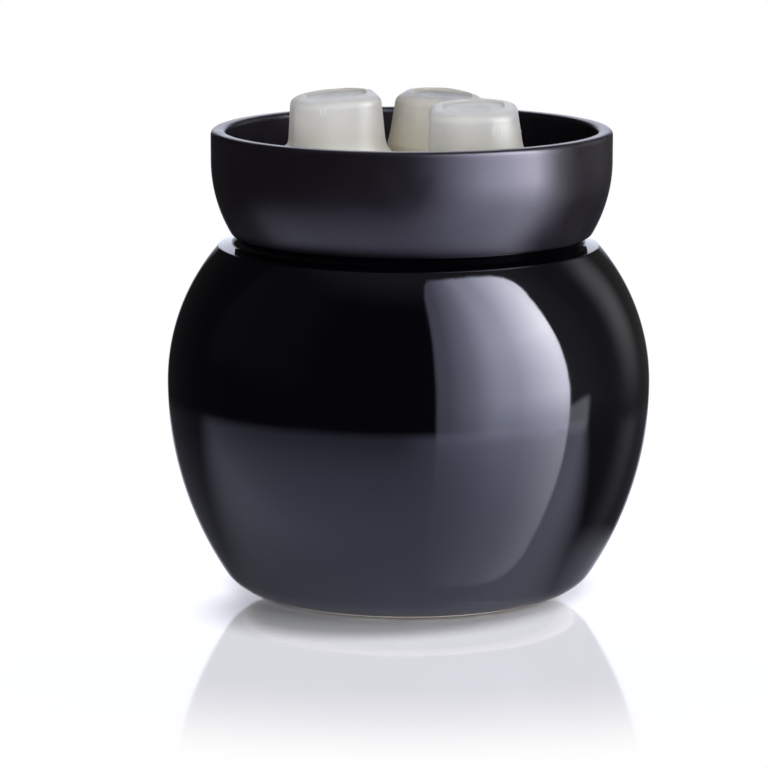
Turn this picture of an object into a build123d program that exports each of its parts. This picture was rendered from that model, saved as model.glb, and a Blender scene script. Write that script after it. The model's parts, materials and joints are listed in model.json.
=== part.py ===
from build123d import *
import math
import os

# Electric wax melt warmer: a glazed pot with a hot plate in its neck, a loose dish and six wax melts.
# Millimetres, +Z up, front towards -Y. The origin is on the table, under the axis of the pot.

# Pot
BELLY_RADIUS = 65.0
BELLY_HEIGHT = 56.3
NECK_HEIGHT = 95.9
NECK_RADIUS = 47.95  # where the shoulder curve reaches the top of the neck, before rounding
NECK_BORE_RADIUS = 44.5
HEEL_RADIUS = 46.3  # where the lower curve reaches the table, before rounding
HEEL_FILLET = 11.7
FOOT_GAP = 0.6  # foot ring above the table
POT_WALL = 4.5
NECK_OUTER_FILLET = 4.0
NECK_INNER_FILLET = 1.2
SEAT_DEPTH = 8.4  # heater seat below the top of the neck
SEAT_THICKNESS = 4.5
SEAT_BORE_RADIUS = 39.0
BASE_BORE_RADIUS = 39.5
BASE_BORE_HEIGHT = 6.0  # underside of the floor above the table
FLOOR_THICKNESS = 4.5
FLOOR_OPENING_RADIUS = 35.0
NOTCH_WIDTH = 11.0

# Dish
DISH_RADIUS = 53.75
DISH_HEIGHT = 29.7  # underside of its floor to its rim
DISH_BAND = 8.4  # upright band below the rim
DISH_SKIRT_RADIUS = 48.2  # where the wall curve reaches the skirt, before rounding
DISH_WALL = 4.0
DISH_FLOOR = 5.8
DISH_FOOT_RADIUS = 43.0
DISH_FOOT_WIDTH = 5.0
DISH_FOOT_HEIGHT = 2.4
DISH_LIP_FILLET = 1.5
DISH_SKIRT_FILLET = 1.4
DISH_FLOOR_FILLET = 7.0
DISH_FOOT_FILLET = 0.6
DISH_SKIRT_GAP = 0.4  # skirt above the neck
DISH_OFFSET = 0.8  # the loose dish stands this far to the right of the pot axis

# Wax melts
WAX_BASE = 25.4
WAX_CORNER = 9.2
WAX_DRAFT = 4.3
WAX_FLANGE = 0.9
WAX_FLANGE_THICKNESS = 1.4
WAX_TOP_FILLET = 3.6
WAX_DIMPLE_DEPTH = 0.8
WAX_DIMPLE_RADIUS = 8.4
WAX_GAP = 0.3
# Stacks of two: name, place in the dish (x, y), turn, height of each melt, roll and pitch of the upper one,
# and the slant of its top
WAX_STACKS = [
    ("left", -19.5, -4.0, 10.0, 16.9, -1.3, 0.0, -2.9),
    ("rear", 6.95, 15.5, -12.0, 15.7, 4.6, 0.0, -2.2),
    ("right", 17.1, -15.5, 0.0, 15.7, -3.8, 3.0, 2.3),
]

# Heater head
SEAL_THICKNESS = 0.8
CARRIER_FLANGE = 1.9
CARRIER_LIP_WIDTH = 1.1
CARRIER_WALL = 2.4
CARRIER_HEIGHT = 12.2
PLATE_FLANGE = 1.8
PLATE_RISE = 2.8  # raised disc above the flange
PLATE_RADIUS = 36.5
PLATE_FLANGE_RADIUS = 42.5
PLATE_RECESS_RADIUS = 35.5
PLATE_RECESS_DEPTH = 1.0
PLATE_FILLET = 0.8
MICA_THICKNESS = 0.5
FOIL_THICKNESS = 0.3
STACK_RADIUS = 35.0
PRESSURE_PLATE = 1.5
PAD_RADIUS = 23.0
PAD_BORE_RADIUS = 6.5
SHIELD_THICKNESS = 1.2
STUD_RADIUS = 2.5
STUD_SPARE = 1.0  # stud beyond its lower nut
NUT_FLATS = 8.0
NUT_HEIGHT = 4.0
WASHER_THICKNESS = 1.0
WASHER_RADIUS = 6.0

# Heating track: rows along X, alike in front of the stud and behind it
TRACK_WIDTH = 4.0
TRACK_PITCH = 6.0
TRACK_FIRST_ROW = 8.0
TRACK_RIM = 33.0

# Element terminals and wiring
TAB_X = 12.0
TAB_WIDTH = 4.8
TAB_THICKNESS = 0.8
TAB_PAD_RADIUS = 2.8
TAB_LENGTH = 5.6  # below the pressure plate
TAB_HOLE_RADIUS = 3.3
RECEPTACLE_WALL = 0.6
RECEPTACLE_DROP = 0.8  # below the pressure plate
RECEPTACLE_HEIGHT = 5.6
RECEPTACLE_BARREL = 2.2
FUSE_RADIUS = 1.9
FUSE_LENGTH = 11.0
FUSE_X = -8.5
FUSE_PIN_RADIUS = 0.5
FUSE_PIN_LENGTH = 3.0
CLIP_THICKNESS = 0.5
CLIP_WIDTH = 6.0
CLIP_EAR = 5.0
CLIP_SCREW_RADIUS = 1.2
CLIP_SCREW_HEAD_RADIUS = 2.2
CLIP_SCREW_HEAD_HEIGHT = 1.4
LEAD_RADIUS = 0.9
LEAD_BEND = 2.6
LEAD_SWEEP = 14.0  # bends of the long runs down to the base
LEAD_LOOP = 6.0  # last bend in front of the terminal block
BUSH_X = 20.0
BUSH_RADIUS = 1.9
BUSH_COLLAR = 0.7
BUSH_COLLAR_HEIGHT = 1.2

# Base
GASKET_THICKNESS = 0.5
BASE_THICKNESS = 3.0
TIE_RADIUS = 28.0
TIE_ANGLES = (30, 150, 270)
BOLT_RADIUS = 2.0
BOLT_HEAD_RADIUS = 3.5
BOLT_HEAD_HEIGHT = 2.4
BOLT_WASHER_RADIUS = 4.2
BOLT_WASHER_THICKNESS = 0.8
BOLT_BOSS_WALL = 1.4
BOLT_BOSS_ROOF = 3.0
BOLT_SPARE = 0.8  # bolt tip above the shield
WELD_NUT_FLATS = 7.0
WELD_NUT_HEIGHT = 3.2
FOOT_PAD_RADIUS = 5.5
FOOT_PAD_CIRCLE = 31.0
FOOT_PAD_FILLET = 0.5
FOOT_POCKET = 0.8
FOOT_ANGLES = {"rear": 90, "left": 210, "right": 330}
VENT_COUNT = 7
VENT_CIRCLE = 17.0
VENT_LENGTH = 11.0
VENT_WIDTH = 2.4
VENT_START = 190.0
VENT_SPAN = 160.0

# Cord gland
GLAND_BORE_RADIUS = 3.2
GLAND_NECK_RADIUS = 4.6
GLAND_COLLAR_RADIUS = 6.2
GLAND_COLLAR_WIDTH = 1.6
GLAND_WALL_Y = 27.5
GLAND_WALL_THICKNESS = 2.5
GLAND_WALL_WIDTH = 17.0
GLAND_WALL_FILLET = 6.0
GLAND_MARGIN = 0.5  # collar to the edges of its wall

# Terminal block
BLOCK_LENGTH = 27.0
BLOCK_POLES_LENGTH = 17.4
BLOCK_DEPTH = 12.0
BLOCK_HEIGHT = 13.0
BLOCK_EAR_HEIGHT = 5.0
BLOCK_Y = 9.0
POLE_SPACING = 9.0
POLE_HEIGHT = 6.5
BARREL_RADIUS = 2.8
BARREL_BORE_RADIUS = 1.6
BARREL_LENGTH = 10.0
CLAMP_SPACING = 5.6
CLAMP_RADIUS = 1.25
CLAMP_RECESS = 1.0
BLOCK_SCREW_X = 11.1
BLOCK_SCREW_RADIUS = 1.2
BLOCK_SCREW_HEAD_RADIUS = 2.1
BLOCK_SCREW_HEAD_HEIGHT = 1.4
BLOCK_SCREW_DEPTH = 2.2  # in the base plate

# Clearances
FIT = 0.4  # round pieces that drop into ceramic or mouldings
HOLE_FIT = 0.3  # screws and pins in plain holes
SNUG_FIT = 0.05  # screws in their threads, and pieces held by their seats
LEAD_FIT = 0.15  # leads in their bushes

# Heights, from the table up
seat_z = NECK_HEIGHT - SEAT_DEPTH
flange_z = seat_z + SEAL_THICKNESS
plate_z = flange_z + CARRIER_FLANGE
plate_flange_z = plate_z + PLATE_FLANGE
plate_top_z = plate_flange_z + PLATE_RISE
recess_z = plate_z + PLATE_RECESS_DEPTH
mica_upper_z = recess_z - MICA_THICKNESS
foil_z = mica_upper_z - FOIL_THICKNESS
mica_lower_z = foil_z - MICA_THICKNESS
pressure_z = mica_lower_z - PRESSURE_PLATE
shield_z = plate_z - CARRIER_HEIGHT
shield_under_z = shield_z - SHIELD_THICKNESS
shield_nut_z = shield_under_z - WASHER_THICKNESS - NUT_HEIGHT
floor_z = BASE_BORE_HEIGHT + FLOOR_THICKNESS
base_top_z = BASE_BORE_HEIGHT - GASKET_THICKNESS
base_z = base_top_z - BASE_THICKNESS
bolt_washer_z = base_z + BOLT_HEAD_HEIGHT
bolt_roof_z = bolt_washer_z + BOLT_WASHER_THICKNESS
cord_z = base_top_z + GLAND_MARGIN + GLAND_COLLAR_RADIUS
dish_floor_z = plate_top_z + DISH_FLOOR
rim_z = plate_top_z + DISH_HEIGHT
skirt_z = NECK_HEIGHT + DISH_SKIRT_GAP
fuse_z = pressure_z - FUSE_RADIUS - SNUG_FIT
pole_z = base_top_z + POLE_HEIGHT

# Radii and places that more than one piece shares
carrier_radius = NECK_BORE_RADIUS - FIT
carrier_skirt_radius = SEAT_BORE_RADIUS - FIT
base_radius = BASE_BORE_RADIUS - FIT
wax_reach = WAX_BASE / 2 + WAX_FLANGE
tab_y = TRACK_FIRST_ROW + 3 * TRACK_PITCH
tab_slot = TAB_WIDTH + 2 * SNUG_FIT
receptacle_width = tab_slot + 2 * RECEPTACLE_WALL
barrel_end = receptacle_width / 2 + RECEPTACLE_BARREL
clip_radius = FUSE_RADIUS + SNUG_FIT + CLIP_THICKNESS
clip_screw_y = tab_y + clip_radius + CLIP_EAR / 2
block_front = BLOCK_Y - BLOCK_DEPTH / 2
tie_places = [Rot(0, 0, angle) * Pos(TIE_RADIUS, 0, 0) for angle in TIE_ANGLES]
tab_places = [Pos(TAB_X, tab_y, 0) * Rot(0, 0, 180), Pos(TAB_X, -tab_y, 0)]
bush_places = [Pos(-BUSH_X, tab_y, 0), Pos(BUSH_X, -tab_y, 0)]
clip_screw_place = Pos(FUSE_X, clip_screw_y, 0)
block_screw_places = [Pos(side * BLOCK_SCREW_X, BLOCK_Y, 0) for side in (-1, 1)]
clamp_places = [
    Pos(side * POLE_SPACING / 2, BLOCK_Y + end * CLAMP_SPACING / 2, 0) for side in (-1, 1) for end in (-1, 1)
]


def tangent_arc_radius(rise, run):
    """Radius of an arc that leaves an upright line and ends this far along it and this far in."""
    return (rise**2 + run**2) / (2 * run)


def arc_angle(rise, radius):
    """Degrees of an arc from its level with the centre to a point this far above or below it."""
    return math.degrees(math.asin(rise / radius))


def rounded(face, corner, radius):
    """Outline of radius and height with the corner nearest to a point rounded."""
    return fillet(face.vertices().sort_by_distance((*corner, 0))[0], radius)


def turned(face):
    """Solid turned about the upright axis from an outline of radius and height."""
    return revolve(Plane.XZ * face, Axis.Z)


def disc(radius, low, high, bore=0.0):
    """Upright disc, or ring with a bore, between two heights."""
    profile = Circle(radius) - Circle(bore) if bore else Circle(radius)
    return Pos(0, 0, low) * extrude(profile, high - low)


def bar(width, depth, low, high):
    """Upright bar between two heights."""
    return Pos(0, 0, low) * extrude(Rectangle(width, depth), high - low)


def hex_nut(flats, bore, low, high):
    """Upright hexagon nut between two heights."""
    profile = RegularPolygon(flats / 2, 6, major_radius=False) - Circle(bore)
    return Pos(0, 0, low) * extrude(profile, high - low)


def group(places, shape):
    """Like pieces at several places."""
    return Compound([place * shape for place in places])


def screw(shank_radius, head_radius, tip, seat, head):
    """Upright screw: its tip, the seat under its head and the far face of the head."""
    return disc(shank_radius, min(tip, seat), max(tip, seat)) + disc(head_radius, min(seat, head), max(seat, head))


def pot_outline(inset, low, high):
    """Curved side of the pot, set in by a wall, from one height to another, with its upright end lines."""
    upper = tangent_arc_radius(NECK_HEIGHT - BELLY_HEIGHT, BELLY_RADIUS - NECK_RADIUS)
    lower = tangent_arc_radius(BELLY_HEIGHT, BELLY_RADIUS - HEEL_RADIUS)
    upper_angle = arc_angle(high - BELLY_HEIGHT, upper - inset)
    lower_angle = arc_angle(BELLY_HEIGHT - low, lower - inset)
    heel = CenterArc((BELLY_RADIUS - lower, BELLY_HEIGHT), lower - inset, -lower_angle, lower_angle)
    shoulder = CenterArc((BELLY_RADIUS - upper, BELLY_HEIGHT), upper - inset, 0, upper_angle)
    ends = [Line((0, low), heel @ 0), Line(shoulder @ 1, (0, high)), Line((0, high), (0, low))]
    return make_face([heel, shoulder, *ends])


def cord_notch():
    """Arch through the rear of the foot, in line with the cord gland."""
    arch = Pos(0, cord_z) * Circle(NOTCH_WIDTH / 2)
    arch += Pos(0, cord_z / 2) * Rectangle(NOTCH_WIDTH, cord_z)
    return extrude(Plane.XZ * arch, -BELLY_RADIUS)


def ceramic_body():
    outside = rounded(pot_outline(0.0, 0.0, NECK_HEIGHT), (HEEL_RADIUS, 0), HEEL_FILLET)
    outside = rounded(outside, (NECK_RADIUS, NECK_HEIGHT), NECK_OUTER_FILLET)
    cavity_top = seat_z - SEAT_THICKNESS
    pot = turned(outside) - turned(pot_outline(POT_WALL, floor_z, cavity_top))
    pot -= disc(NECK_BORE_RADIUS, seat_z, NECK_HEIGHT)
    lip = pot.edges().filter_by(GeomType.CIRCLE).sort_by_distance((NECK_BORE_RADIUS, 0, NECK_HEIGHT))[0]
    pot = fillet(lip, NECK_INNER_FILLET)
    pot -= disc(SEAT_BORE_RADIUS, cavity_top, seat_z)
    pot -= disc(FLOOR_OPENING_RADIUS, BASE_BORE_HEIGHT, floor_z)
    pot -= disc(BASE_BORE_RADIUS, 0, BASE_BORE_HEIGHT)
    pot -= disc(BELLY_RADIUS, 0, FOOT_GAP)
    return pot - cord_notch()


def wax_dish():
    band_z = rim_z - DISH_BAND
    foot_z = plate_top_z - DISH_FOOT_HEIGHT
    foot_inner = DISH_FOOT_RADIUS - DISH_FOOT_WIDTH
    inner_radius = DISH_RADIUS - DISH_WALL
    curve = tangent_arc_radius(band_z - skirt_z, DISH_RADIUS - DISH_SKIRT_RADIUS)
    centre = (DISH_RADIUS - curve, band_z)
    outer_angle = arc_angle(band_z - skirt_z, curve)
    inner_angle = arc_angle(band_z - dish_floor_z, curve - DISH_WALL)
    outer = CenterArc(centre, curve, -outer_angle, outer_angle)
    inner = CenterArc(centre, curve - DISH_WALL, -inner_angle, inner_angle)
    underside = Polyline(
        (0, plate_top_z),
        (foot_inner, plate_top_z),
        (foot_inner, foot_z),
        (DISH_FOOT_RADIUS, foot_z),
        (DISH_FOOT_RADIUS, skirt_z),
        outer @ 0,
    )
    rim = Polyline((DISH_RADIUS, band_z), (DISH_RADIUS, rim_z), (inner_radius, rim_z), (inner_radius, band_z))
    floor = Polyline(inner @ 0, (0, dish_floor_z), (0, plate_top_z))
    face = make_face([*underside.edges(), outer, *rim.edges(), inner, *floor.edges()])
    for corner, radius in [
        ((DISH_SKIRT_RADIUS, skirt_z), DISH_SKIRT_FILLET),
        ((DISH_RADIUS, rim_z), DISH_LIP_FILLET),
        ((inner_radius, rim_z), DISH_LIP_FILLET),
        ((foot_inner, foot_z), DISH_FOOT_FILLET),
        ((DISH_FOOT_RADIUS, foot_z), DISH_FOOT_FILLET),
        (tuple(inner @ 0)[:2], DISH_FLOOR_FILLET),
    ]:
        face = rounded(face, corner, radius)
    return Pos(DISH_OFFSET, 0, 0) * turned(face)


def wax_narrowing(rise):
    """How far the tapered side of a melt leans in over a height."""
    return rise * math.tan(math.radians(WAX_DRAFT))


def wax_seat_lift(height, turn, roll, pitch):
    """Rise of a tipped melt so that its flat base just clears the level top of the melt under it."""
    slope = Vector(-math.sin(math.radians(roll)), math.sin(math.radians(pitch))).rotate(Axis.Z, -turn)
    straight = WAX_BASE / 2 - WAX_CORNER
    corner = WAX_CORNER - wax_narrowing(height - WAX_FLANGE_THICKNESS) - WAX_TOP_FILLET
    return straight * (abs(slope.X) + abs(slope.Y)) + corner * slope.length


def wax_melt(height, slant):
    """One melt standing on its flange: a tapered rounded square with a dished top, cut at a slant."""
    cup_height = height - WAX_FLANGE_THICKNESS
    crest = cup_height + wax_reach * math.sin(math.radians(abs(slant)))
    narrowing = wax_narrowing(crest)
    crest_size = WAX_BASE - 2 * narrowing
    foot = RectangleRounded(WAX_BASE, WAX_BASE, WAX_CORNER)
    crown = RectangleRounded(crest_size, crest_size, WAX_CORNER - narrowing)
    top = Pos(0, 0, cup_height) * Rot(0, slant, 0)
    cup = loft([foot, Pos(0, 0, crest) * crown], ruled=True)
    cup = split(cup, Plane(top.position, z_dir=top.z_axis.direction), keep=Keep.BOTTOM)
    cup = fillet(cup.faces().sort_by(Axis.Z)[-1].edges(), WAX_TOP_FILLET)
    ball = (WAX_DIMPLE_RADIUS**2 + WAX_DIMPLE_DEPTH**2) / (2 * WAX_DIMPLE_DEPTH)
    cup -= top * Pos(0, 0, ball - WAX_DIMPLE_DEPTH) * Sphere(ball)
    flange = RectangleRounded(2 * wax_reach, 2 * wax_reach, WAX_CORNER + WAX_FLANGE)
    return extrude(flange, WAX_FLANGE_THICKNESS) + Pos(0, 0, WAX_FLANGE_THICKNESS) * cup


def wax_melts():
    """Six melts in three stacks of two, the upper ones slightly tipped."""
    melts = {}
    for name, x, y, turn, height, roll, pitch, slant in WAX_STACKS:
        stack = Pos(DISH_OFFSET + x, y, dish_floor_z)
        seat = height + WAX_GAP + wax_seat_lift(height, turn, roll, pitch)
        upper = stack * Pos(0, 0, seat) * Rot(pitch, roll, 0)
        melts[f"wax_melt_lower_{name}"] = stack * Rot(0, 0, turn) * wax_melt(height, 0.0)
        melts[f"wax_melt_{name}"] = upper * Rot(0, 0, turn) * wax_melt(height, slant)
    return melts


def hot_plate():
    plate = disc(PLATE_FLANGE_RADIUS, plate_z, plate_flange_z) + disc(PLATE_RADIUS, plate_flange_z, plate_top_z)
    plate = fillet(plate.edges().group_by(Axis.Z)[-1], PLATE_FILLET)
    return plate - disc(PLATE_RECESS_RADIUS, plate_z, recess_z)


def heater_carrier():
    lip_inner = carrier_radius - CARRIER_LIP_WIDTH
    skirt_inner = carrier_skirt_radius - CARRIER_WALL
    carrier = disc(carrier_radius, flange_z, plate_z, skirt_inner)
    carrier += disc(carrier_radius, plate_z, plate_flange_z, lip_inner)
    return carrier + disc(carrier_skirt_radius, shield_z, flange_z, skirt_inner)


def heating_foil():
    """Flat track: rows joined at alternate ends, from the rear terminal round to the front one."""
    rows = [TRACK_FIRST_ROW + index * TRACK_PITCH for index in range(4)]
    reach = [math.sqrt(TRACK_RIM**2 - (row + TRACK_WIDTH / 2) ** 2) for row in rows]
    left_ends = [-reach[1], -reach[1], -reach[3], -reach[3]]
    right_ends = [reach[0], reach[2], reach[2], TAB_X]
    half = Sketch()
    for row, left, right in zip(rows, left_ends, right_ends):
        half += Pos((left + right) / 2, row) * Rectangle(right - left, TRACK_WIDTH)
    for joint, end in [(0, left_ends[0]), (2, left_ends[2]), (1, right_ends[1])]:
        inward = TRACK_WIDTH / 2 if end < 0 else -TRACK_WIDTH / 2
        middle = (rows[joint] + rows[joint + 1]) / 2
        half += Pos(end + inward, middle) * Rectangle(TRACK_WIDTH, TRACK_PITCH)
    half += Pos(TAB_X, rows[3]) * Circle(TAB_PAD_RADIUS)
    crossing = Pos(right_ends[0] - TRACK_WIDTH / 2, 0) * Rectangle(TRACK_WIDTH, 2 * TRACK_FIRST_ROW)
    track = half + mirror(half, about=Plane.XZ) + crossing
    return Pos(0, 0, foil_z) * extrude(track, FOIL_THICKNESS)


def stack_disc(low, high):
    """Sheet of the element stack, with the holes for the stud and the two tabs."""
    sheet = disc(STACK_RADIUS, low, high, STUD_RADIUS + HOLE_FIT)
    return sheet - group(tab_places, disc(TAB_HOLE_RADIUS, low, high))


def pressure_plate():
    hole = clip_screw_place * disc(CLIP_SCREW_RADIUS + SNUG_FIT, pressure_z, mica_lower_z)
    return stack_disc(pressure_z, mica_lower_z) - hole


def heat_shield():
    shield = disc(carrier_skirt_radius, shield_under_z, shield_z, STUD_RADIUS + HOLE_FIT)
    shield -= group(tie_places, disc(BOLT_RADIUS + HOLE_FIT, shield_under_z, shield_z))
    return shield - group(bush_places, disc(BUSH_RADIUS + SNUG_FIT, shield_under_z, shield_z))


def element_tab():
    tab = disc(TAB_PAD_RADIUS, mica_lower_z, foil_z)
    return tab + bar(TAB_WIDTH, TAB_THICKNESS, pressure_z - TAB_LENGTH, mica_lower_z)


def tab_receptacle():
    top = pressure_z - RECEPTACLE_DROP
    slot_depth = TAB_THICKNESS + 2 * SNUG_FIT
    sleeve = bar(receptacle_width, slot_depth + 2 * RECEPTACLE_WALL, top - RECEPTACLE_HEIGHT, top)
    sleeve -= bar(tab_slot, slot_depth, pressure_z - TAB_LENGTH, top)
    barrel = Plane.YZ * Circle(LEAD_RADIUS)
    return sleeve + Pos(receptacle_width / 2, 0, fuse_z) * extrude(barrel, RECEPTACLE_BARREL)


def lead_bush():
    collar = BUSH_RADIUS + BUSH_COLLAR
    bore = LEAD_RADIUS + LEAD_FIT
    bush = disc(BUSH_RADIUS, shield_under_z, shield_z, bore)
    bush += disc(collar, shield_z, shield_z + BUSH_COLLAR_HEIGHT, bore)
    return bush + disc(collar, shield_under_z - BUSH_COLLAR_HEIGHT, shield_under_z, bore)


def thermal_fuse():
    pin = FUSE_LENGTH / 2 + FUSE_PIN_LENGTH
    fuse = extrude(Plane.YZ * Circle(FUSE_RADIUS), FUSE_LENGTH / 2, both=True)
    fuse += extrude(Plane.YZ * Circle(FUSE_PIN_RADIUS), pin, both=True)
    return Pos(FUSE_X, tab_y, fuse_z) * fuse


def fuse_clip():
    """Strap under the fuse, with one ear screwed to the pressure plate."""
    inner = clip_radius - CLIP_THICKNESS
    head = pressure_z - fuse_z
    strap = Circle(clip_radius) + Pos(0, head / 2) * Rectangle(2 * clip_radius, head)
    strap -= Pos(0, head) * Rectangle(4 * clip_radius, 2 * head, align=(Align.CENTER, Align.MIN))
    strap -= Circle(inner) + Pos(0, head / 2) * Rectangle(2 * inner, head)
    ear = Rectangle(CLIP_EAR, CLIP_THICKNESS, align=(Align.MIN, Align.MAX))
    strap += Pos(clip_radius, head) * ear
    clip = extrude(Plane.YZ * strap, CLIP_WIDTH / 2, both=True)
    hole = clip_screw_place * disc(CLIP_SCREW_RADIUS + HOLE_FIT, pressure_z - CLIP_THICKNESS, pressure_z)
    return Pos(FUSE_X, tab_y, fuse_z) * clip - hole


def lead(points, radii):
    """Round lead along straight runs joined by bends."""
    path = FilletPolyline(*points, radius=radii)
    return sweep(Plane(origin=path @ 0, z_dir=path % 0) * Circle(LEAD_RADIUS), path=path)


def leads():
    """Live lead up to the fuse, link from the fuse to the rear tab, neutral lead from the front tab."""
    pole_x = POLE_SPACING / 2
    pin = FUSE_LENGTH / 2 + FUSE_PIN_LENGTH
    lead_end = (block_front + CLAMP_SPACING / 2, pole_z)
    run_z = (shield_under_z + pole_z) / 2
    loop_y = block_front - 2 * LEAD_LOOP
    bends = [LEAD_BEND, LEAD_SWEEP, LEAD_SWEEP, LEAD_LOOP]
    link = Plane.YZ * Circle(LEAD_RADIUS)
    return {
        "lead_live": lead(
            [
                (FUSE_X - pin, tab_y, fuse_z),
                (-BUSH_X, tab_y, fuse_z),
                (-BUSH_X, tab_y, run_z),
                (-BUSH_X, loop_y, run_z / 2),
                (-pole_x, loop_y, pole_z),
                (-pole_x, *lead_end),
            ],
            bends,
        ),
        "lead_link": Pos(FUSE_X + pin, tab_y, fuse_z) * extrude(link, TAB_X - barrel_end - FUSE_X - pin),
        "lead_neutral": lead(
            [
                (TAB_X + barrel_end, -tab_y, fuse_z),
                (BUSH_X, -tab_y, fuse_z),
                (BUSH_X, -tab_y, run_z),
                (pole_x, loop_y, run_z / 2),
                (pole_x, loop_y, pole_z),
                (pole_x, *lead_end),
            ],
            bends,
        ),
    }


def base_plate():
    pocket_radius = BOLT_WASHER_RADIUS + HOLE_FIT
    plate = disc(base_radius, base_z, base_top_z)
    boss = disc(pocket_radius + BOLT_BOSS_WALL, base_top_z, bolt_roof_z + BOLT_BOSS_ROOF)
    for place in tie_places:
        plate += place * boss
        plate -= place * disc(pocket_radius, base_z, bolt_roof_z)
        plate -= place * disc(BOLT_RADIUS + HOLE_FIT, bolt_roof_z, bolt_roof_z + BOLT_BOSS_ROOF)
    pocket = disc(FOOT_PAD_RADIUS + HOLE_FIT, base_z, base_z + FOOT_POCKET)
    for angle in FOOT_ANGLES.values():
        plate -= Rot(0, 0, angle) * Pos(FOOT_PAD_CIRCLE, 0, 0) * pocket
    vents = PolarLocations(VENT_CIRCLE, VENT_COUNT, VENT_START, VENT_SPAN, endpoint=True)
    plate -= Pos(0, 0, base_z) * extrude(Sketch() + vents * SlotOverall(VENT_LENGTH, VENT_WIDTH), BASE_THICKNESS)
    for place in block_screw_places:
        plate -= place * disc(BLOCK_SCREW_RADIUS + SNUG_FIT, base_top_z - BLOCK_SCREW_DEPTH, base_top_z)
    return plate + gland_wall()


def gland_wall():
    """Upright wall on the base plate that holds the cord grommet."""
    height = 2 * (GLAND_MARGIN + GLAND_COLLAR_RADIUS)
    wall = Pos(0, height / 2) * Rectangle(GLAND_WALL_WIDTH, height)
    wall = fillet(wall.vertices().group_by(Axis.Y)[-1], GLAND_WALL_FILLET)
    wall -= Pos(0, height / 2) * Circle(GLAND_NECK_RADIUS + SNUG_FIT)
    return Pos(0, GLAND_WALL_Y, base_top_z) * extrude(Plane.XZ * wall, -GLAND_WALL_THICKNESS)


def cord_grommet():
    ring = Plane.XZ * (Circle(GLAND_COLLAR_RADIUS) - Circle(GLAND_BORE_RADIUS))
    neck = Plane.XZ * (Circle(GLAND_NECK_RADIUS) - Circle(GLAND_BORE_RADIUS))
    grommet = extrude(neck, -GLAND_WALL_THICKNESS) + extrude(ring, GLAND_COLLAR_WIDTH)
    grommet += Pos(0, GLAND_WALL_THICKNESS, 0) * extrude(ring, -GLAND_COLLAR_WIDTH)
    return Pos(0, GLAND_WALL_Y, cord_z) * grommet


def rubber_foot():
    foot = disc(FOOT_PAD_RADIUS, 0, base_z + FOOT_POCKET)
    return Pos(FOOT_PAD_CIRCLE, 0, 0) * fillet(foot.edges().group_by(Axis.Z)[0], FOOT_PAD_FILLET)


def terminal_block():
    poles = bar(BLOCK_POLES_LENGTH, BLOCK_DEPTH, base_top_z, base_top_z + BLOCK_HEIGHT)
    body = Pos(0, BLOCK_Y, 0) * (poles + bar(BLOCK_LENGTH, BLOCK_DEPTH, base_top_z, base_top_z + BLOCK_EAR_HEIGHT))
    for side in (-1, 1):
        tunnel = extrude(Plane.XZ * Circle(BARREL_RADIUS + SNUG_FIT), BLOCK_DEPTH / 2, both=True)
        body -= Pos(side * POLE_SPACING / 2, BLOCK_Y, pole_z) * tunnel
    for place in clamp_places:
        body -= place * disc(CLAMP_RADIUS + HOLE_FIT, pole_z, base_top_z + BLOCK_HEIGHT)
    for place in block_screw_places:
        body -= place * disc(BLOCK_SCREW_RADIUS + HOLE_FIT, base_top_z, base_top_z + BLOCK_EAR_HEIGHT)
    return body


def terminal_barrels():
    tube = Plane.XZ * (Circle(BARREL_RADIUS) - Circle(BARREL_BORE_RADIUS))
    barrels = []
    for side in (-1, 1):
        barrel = Pos(side * POLE_SPACING / 2, BLOCK_Y, pole_z) * extrude(tube, BARREL_LENGTH / 2, both=True)
        for place in clamp_places:
            barrel -= place * disc(CLAMP_RADIUS + SNUG_FIT, pole_z, pole_z + BARREL_RADIUS)
        barrels.append(barrel)
    return Compound(barrels)


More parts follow.
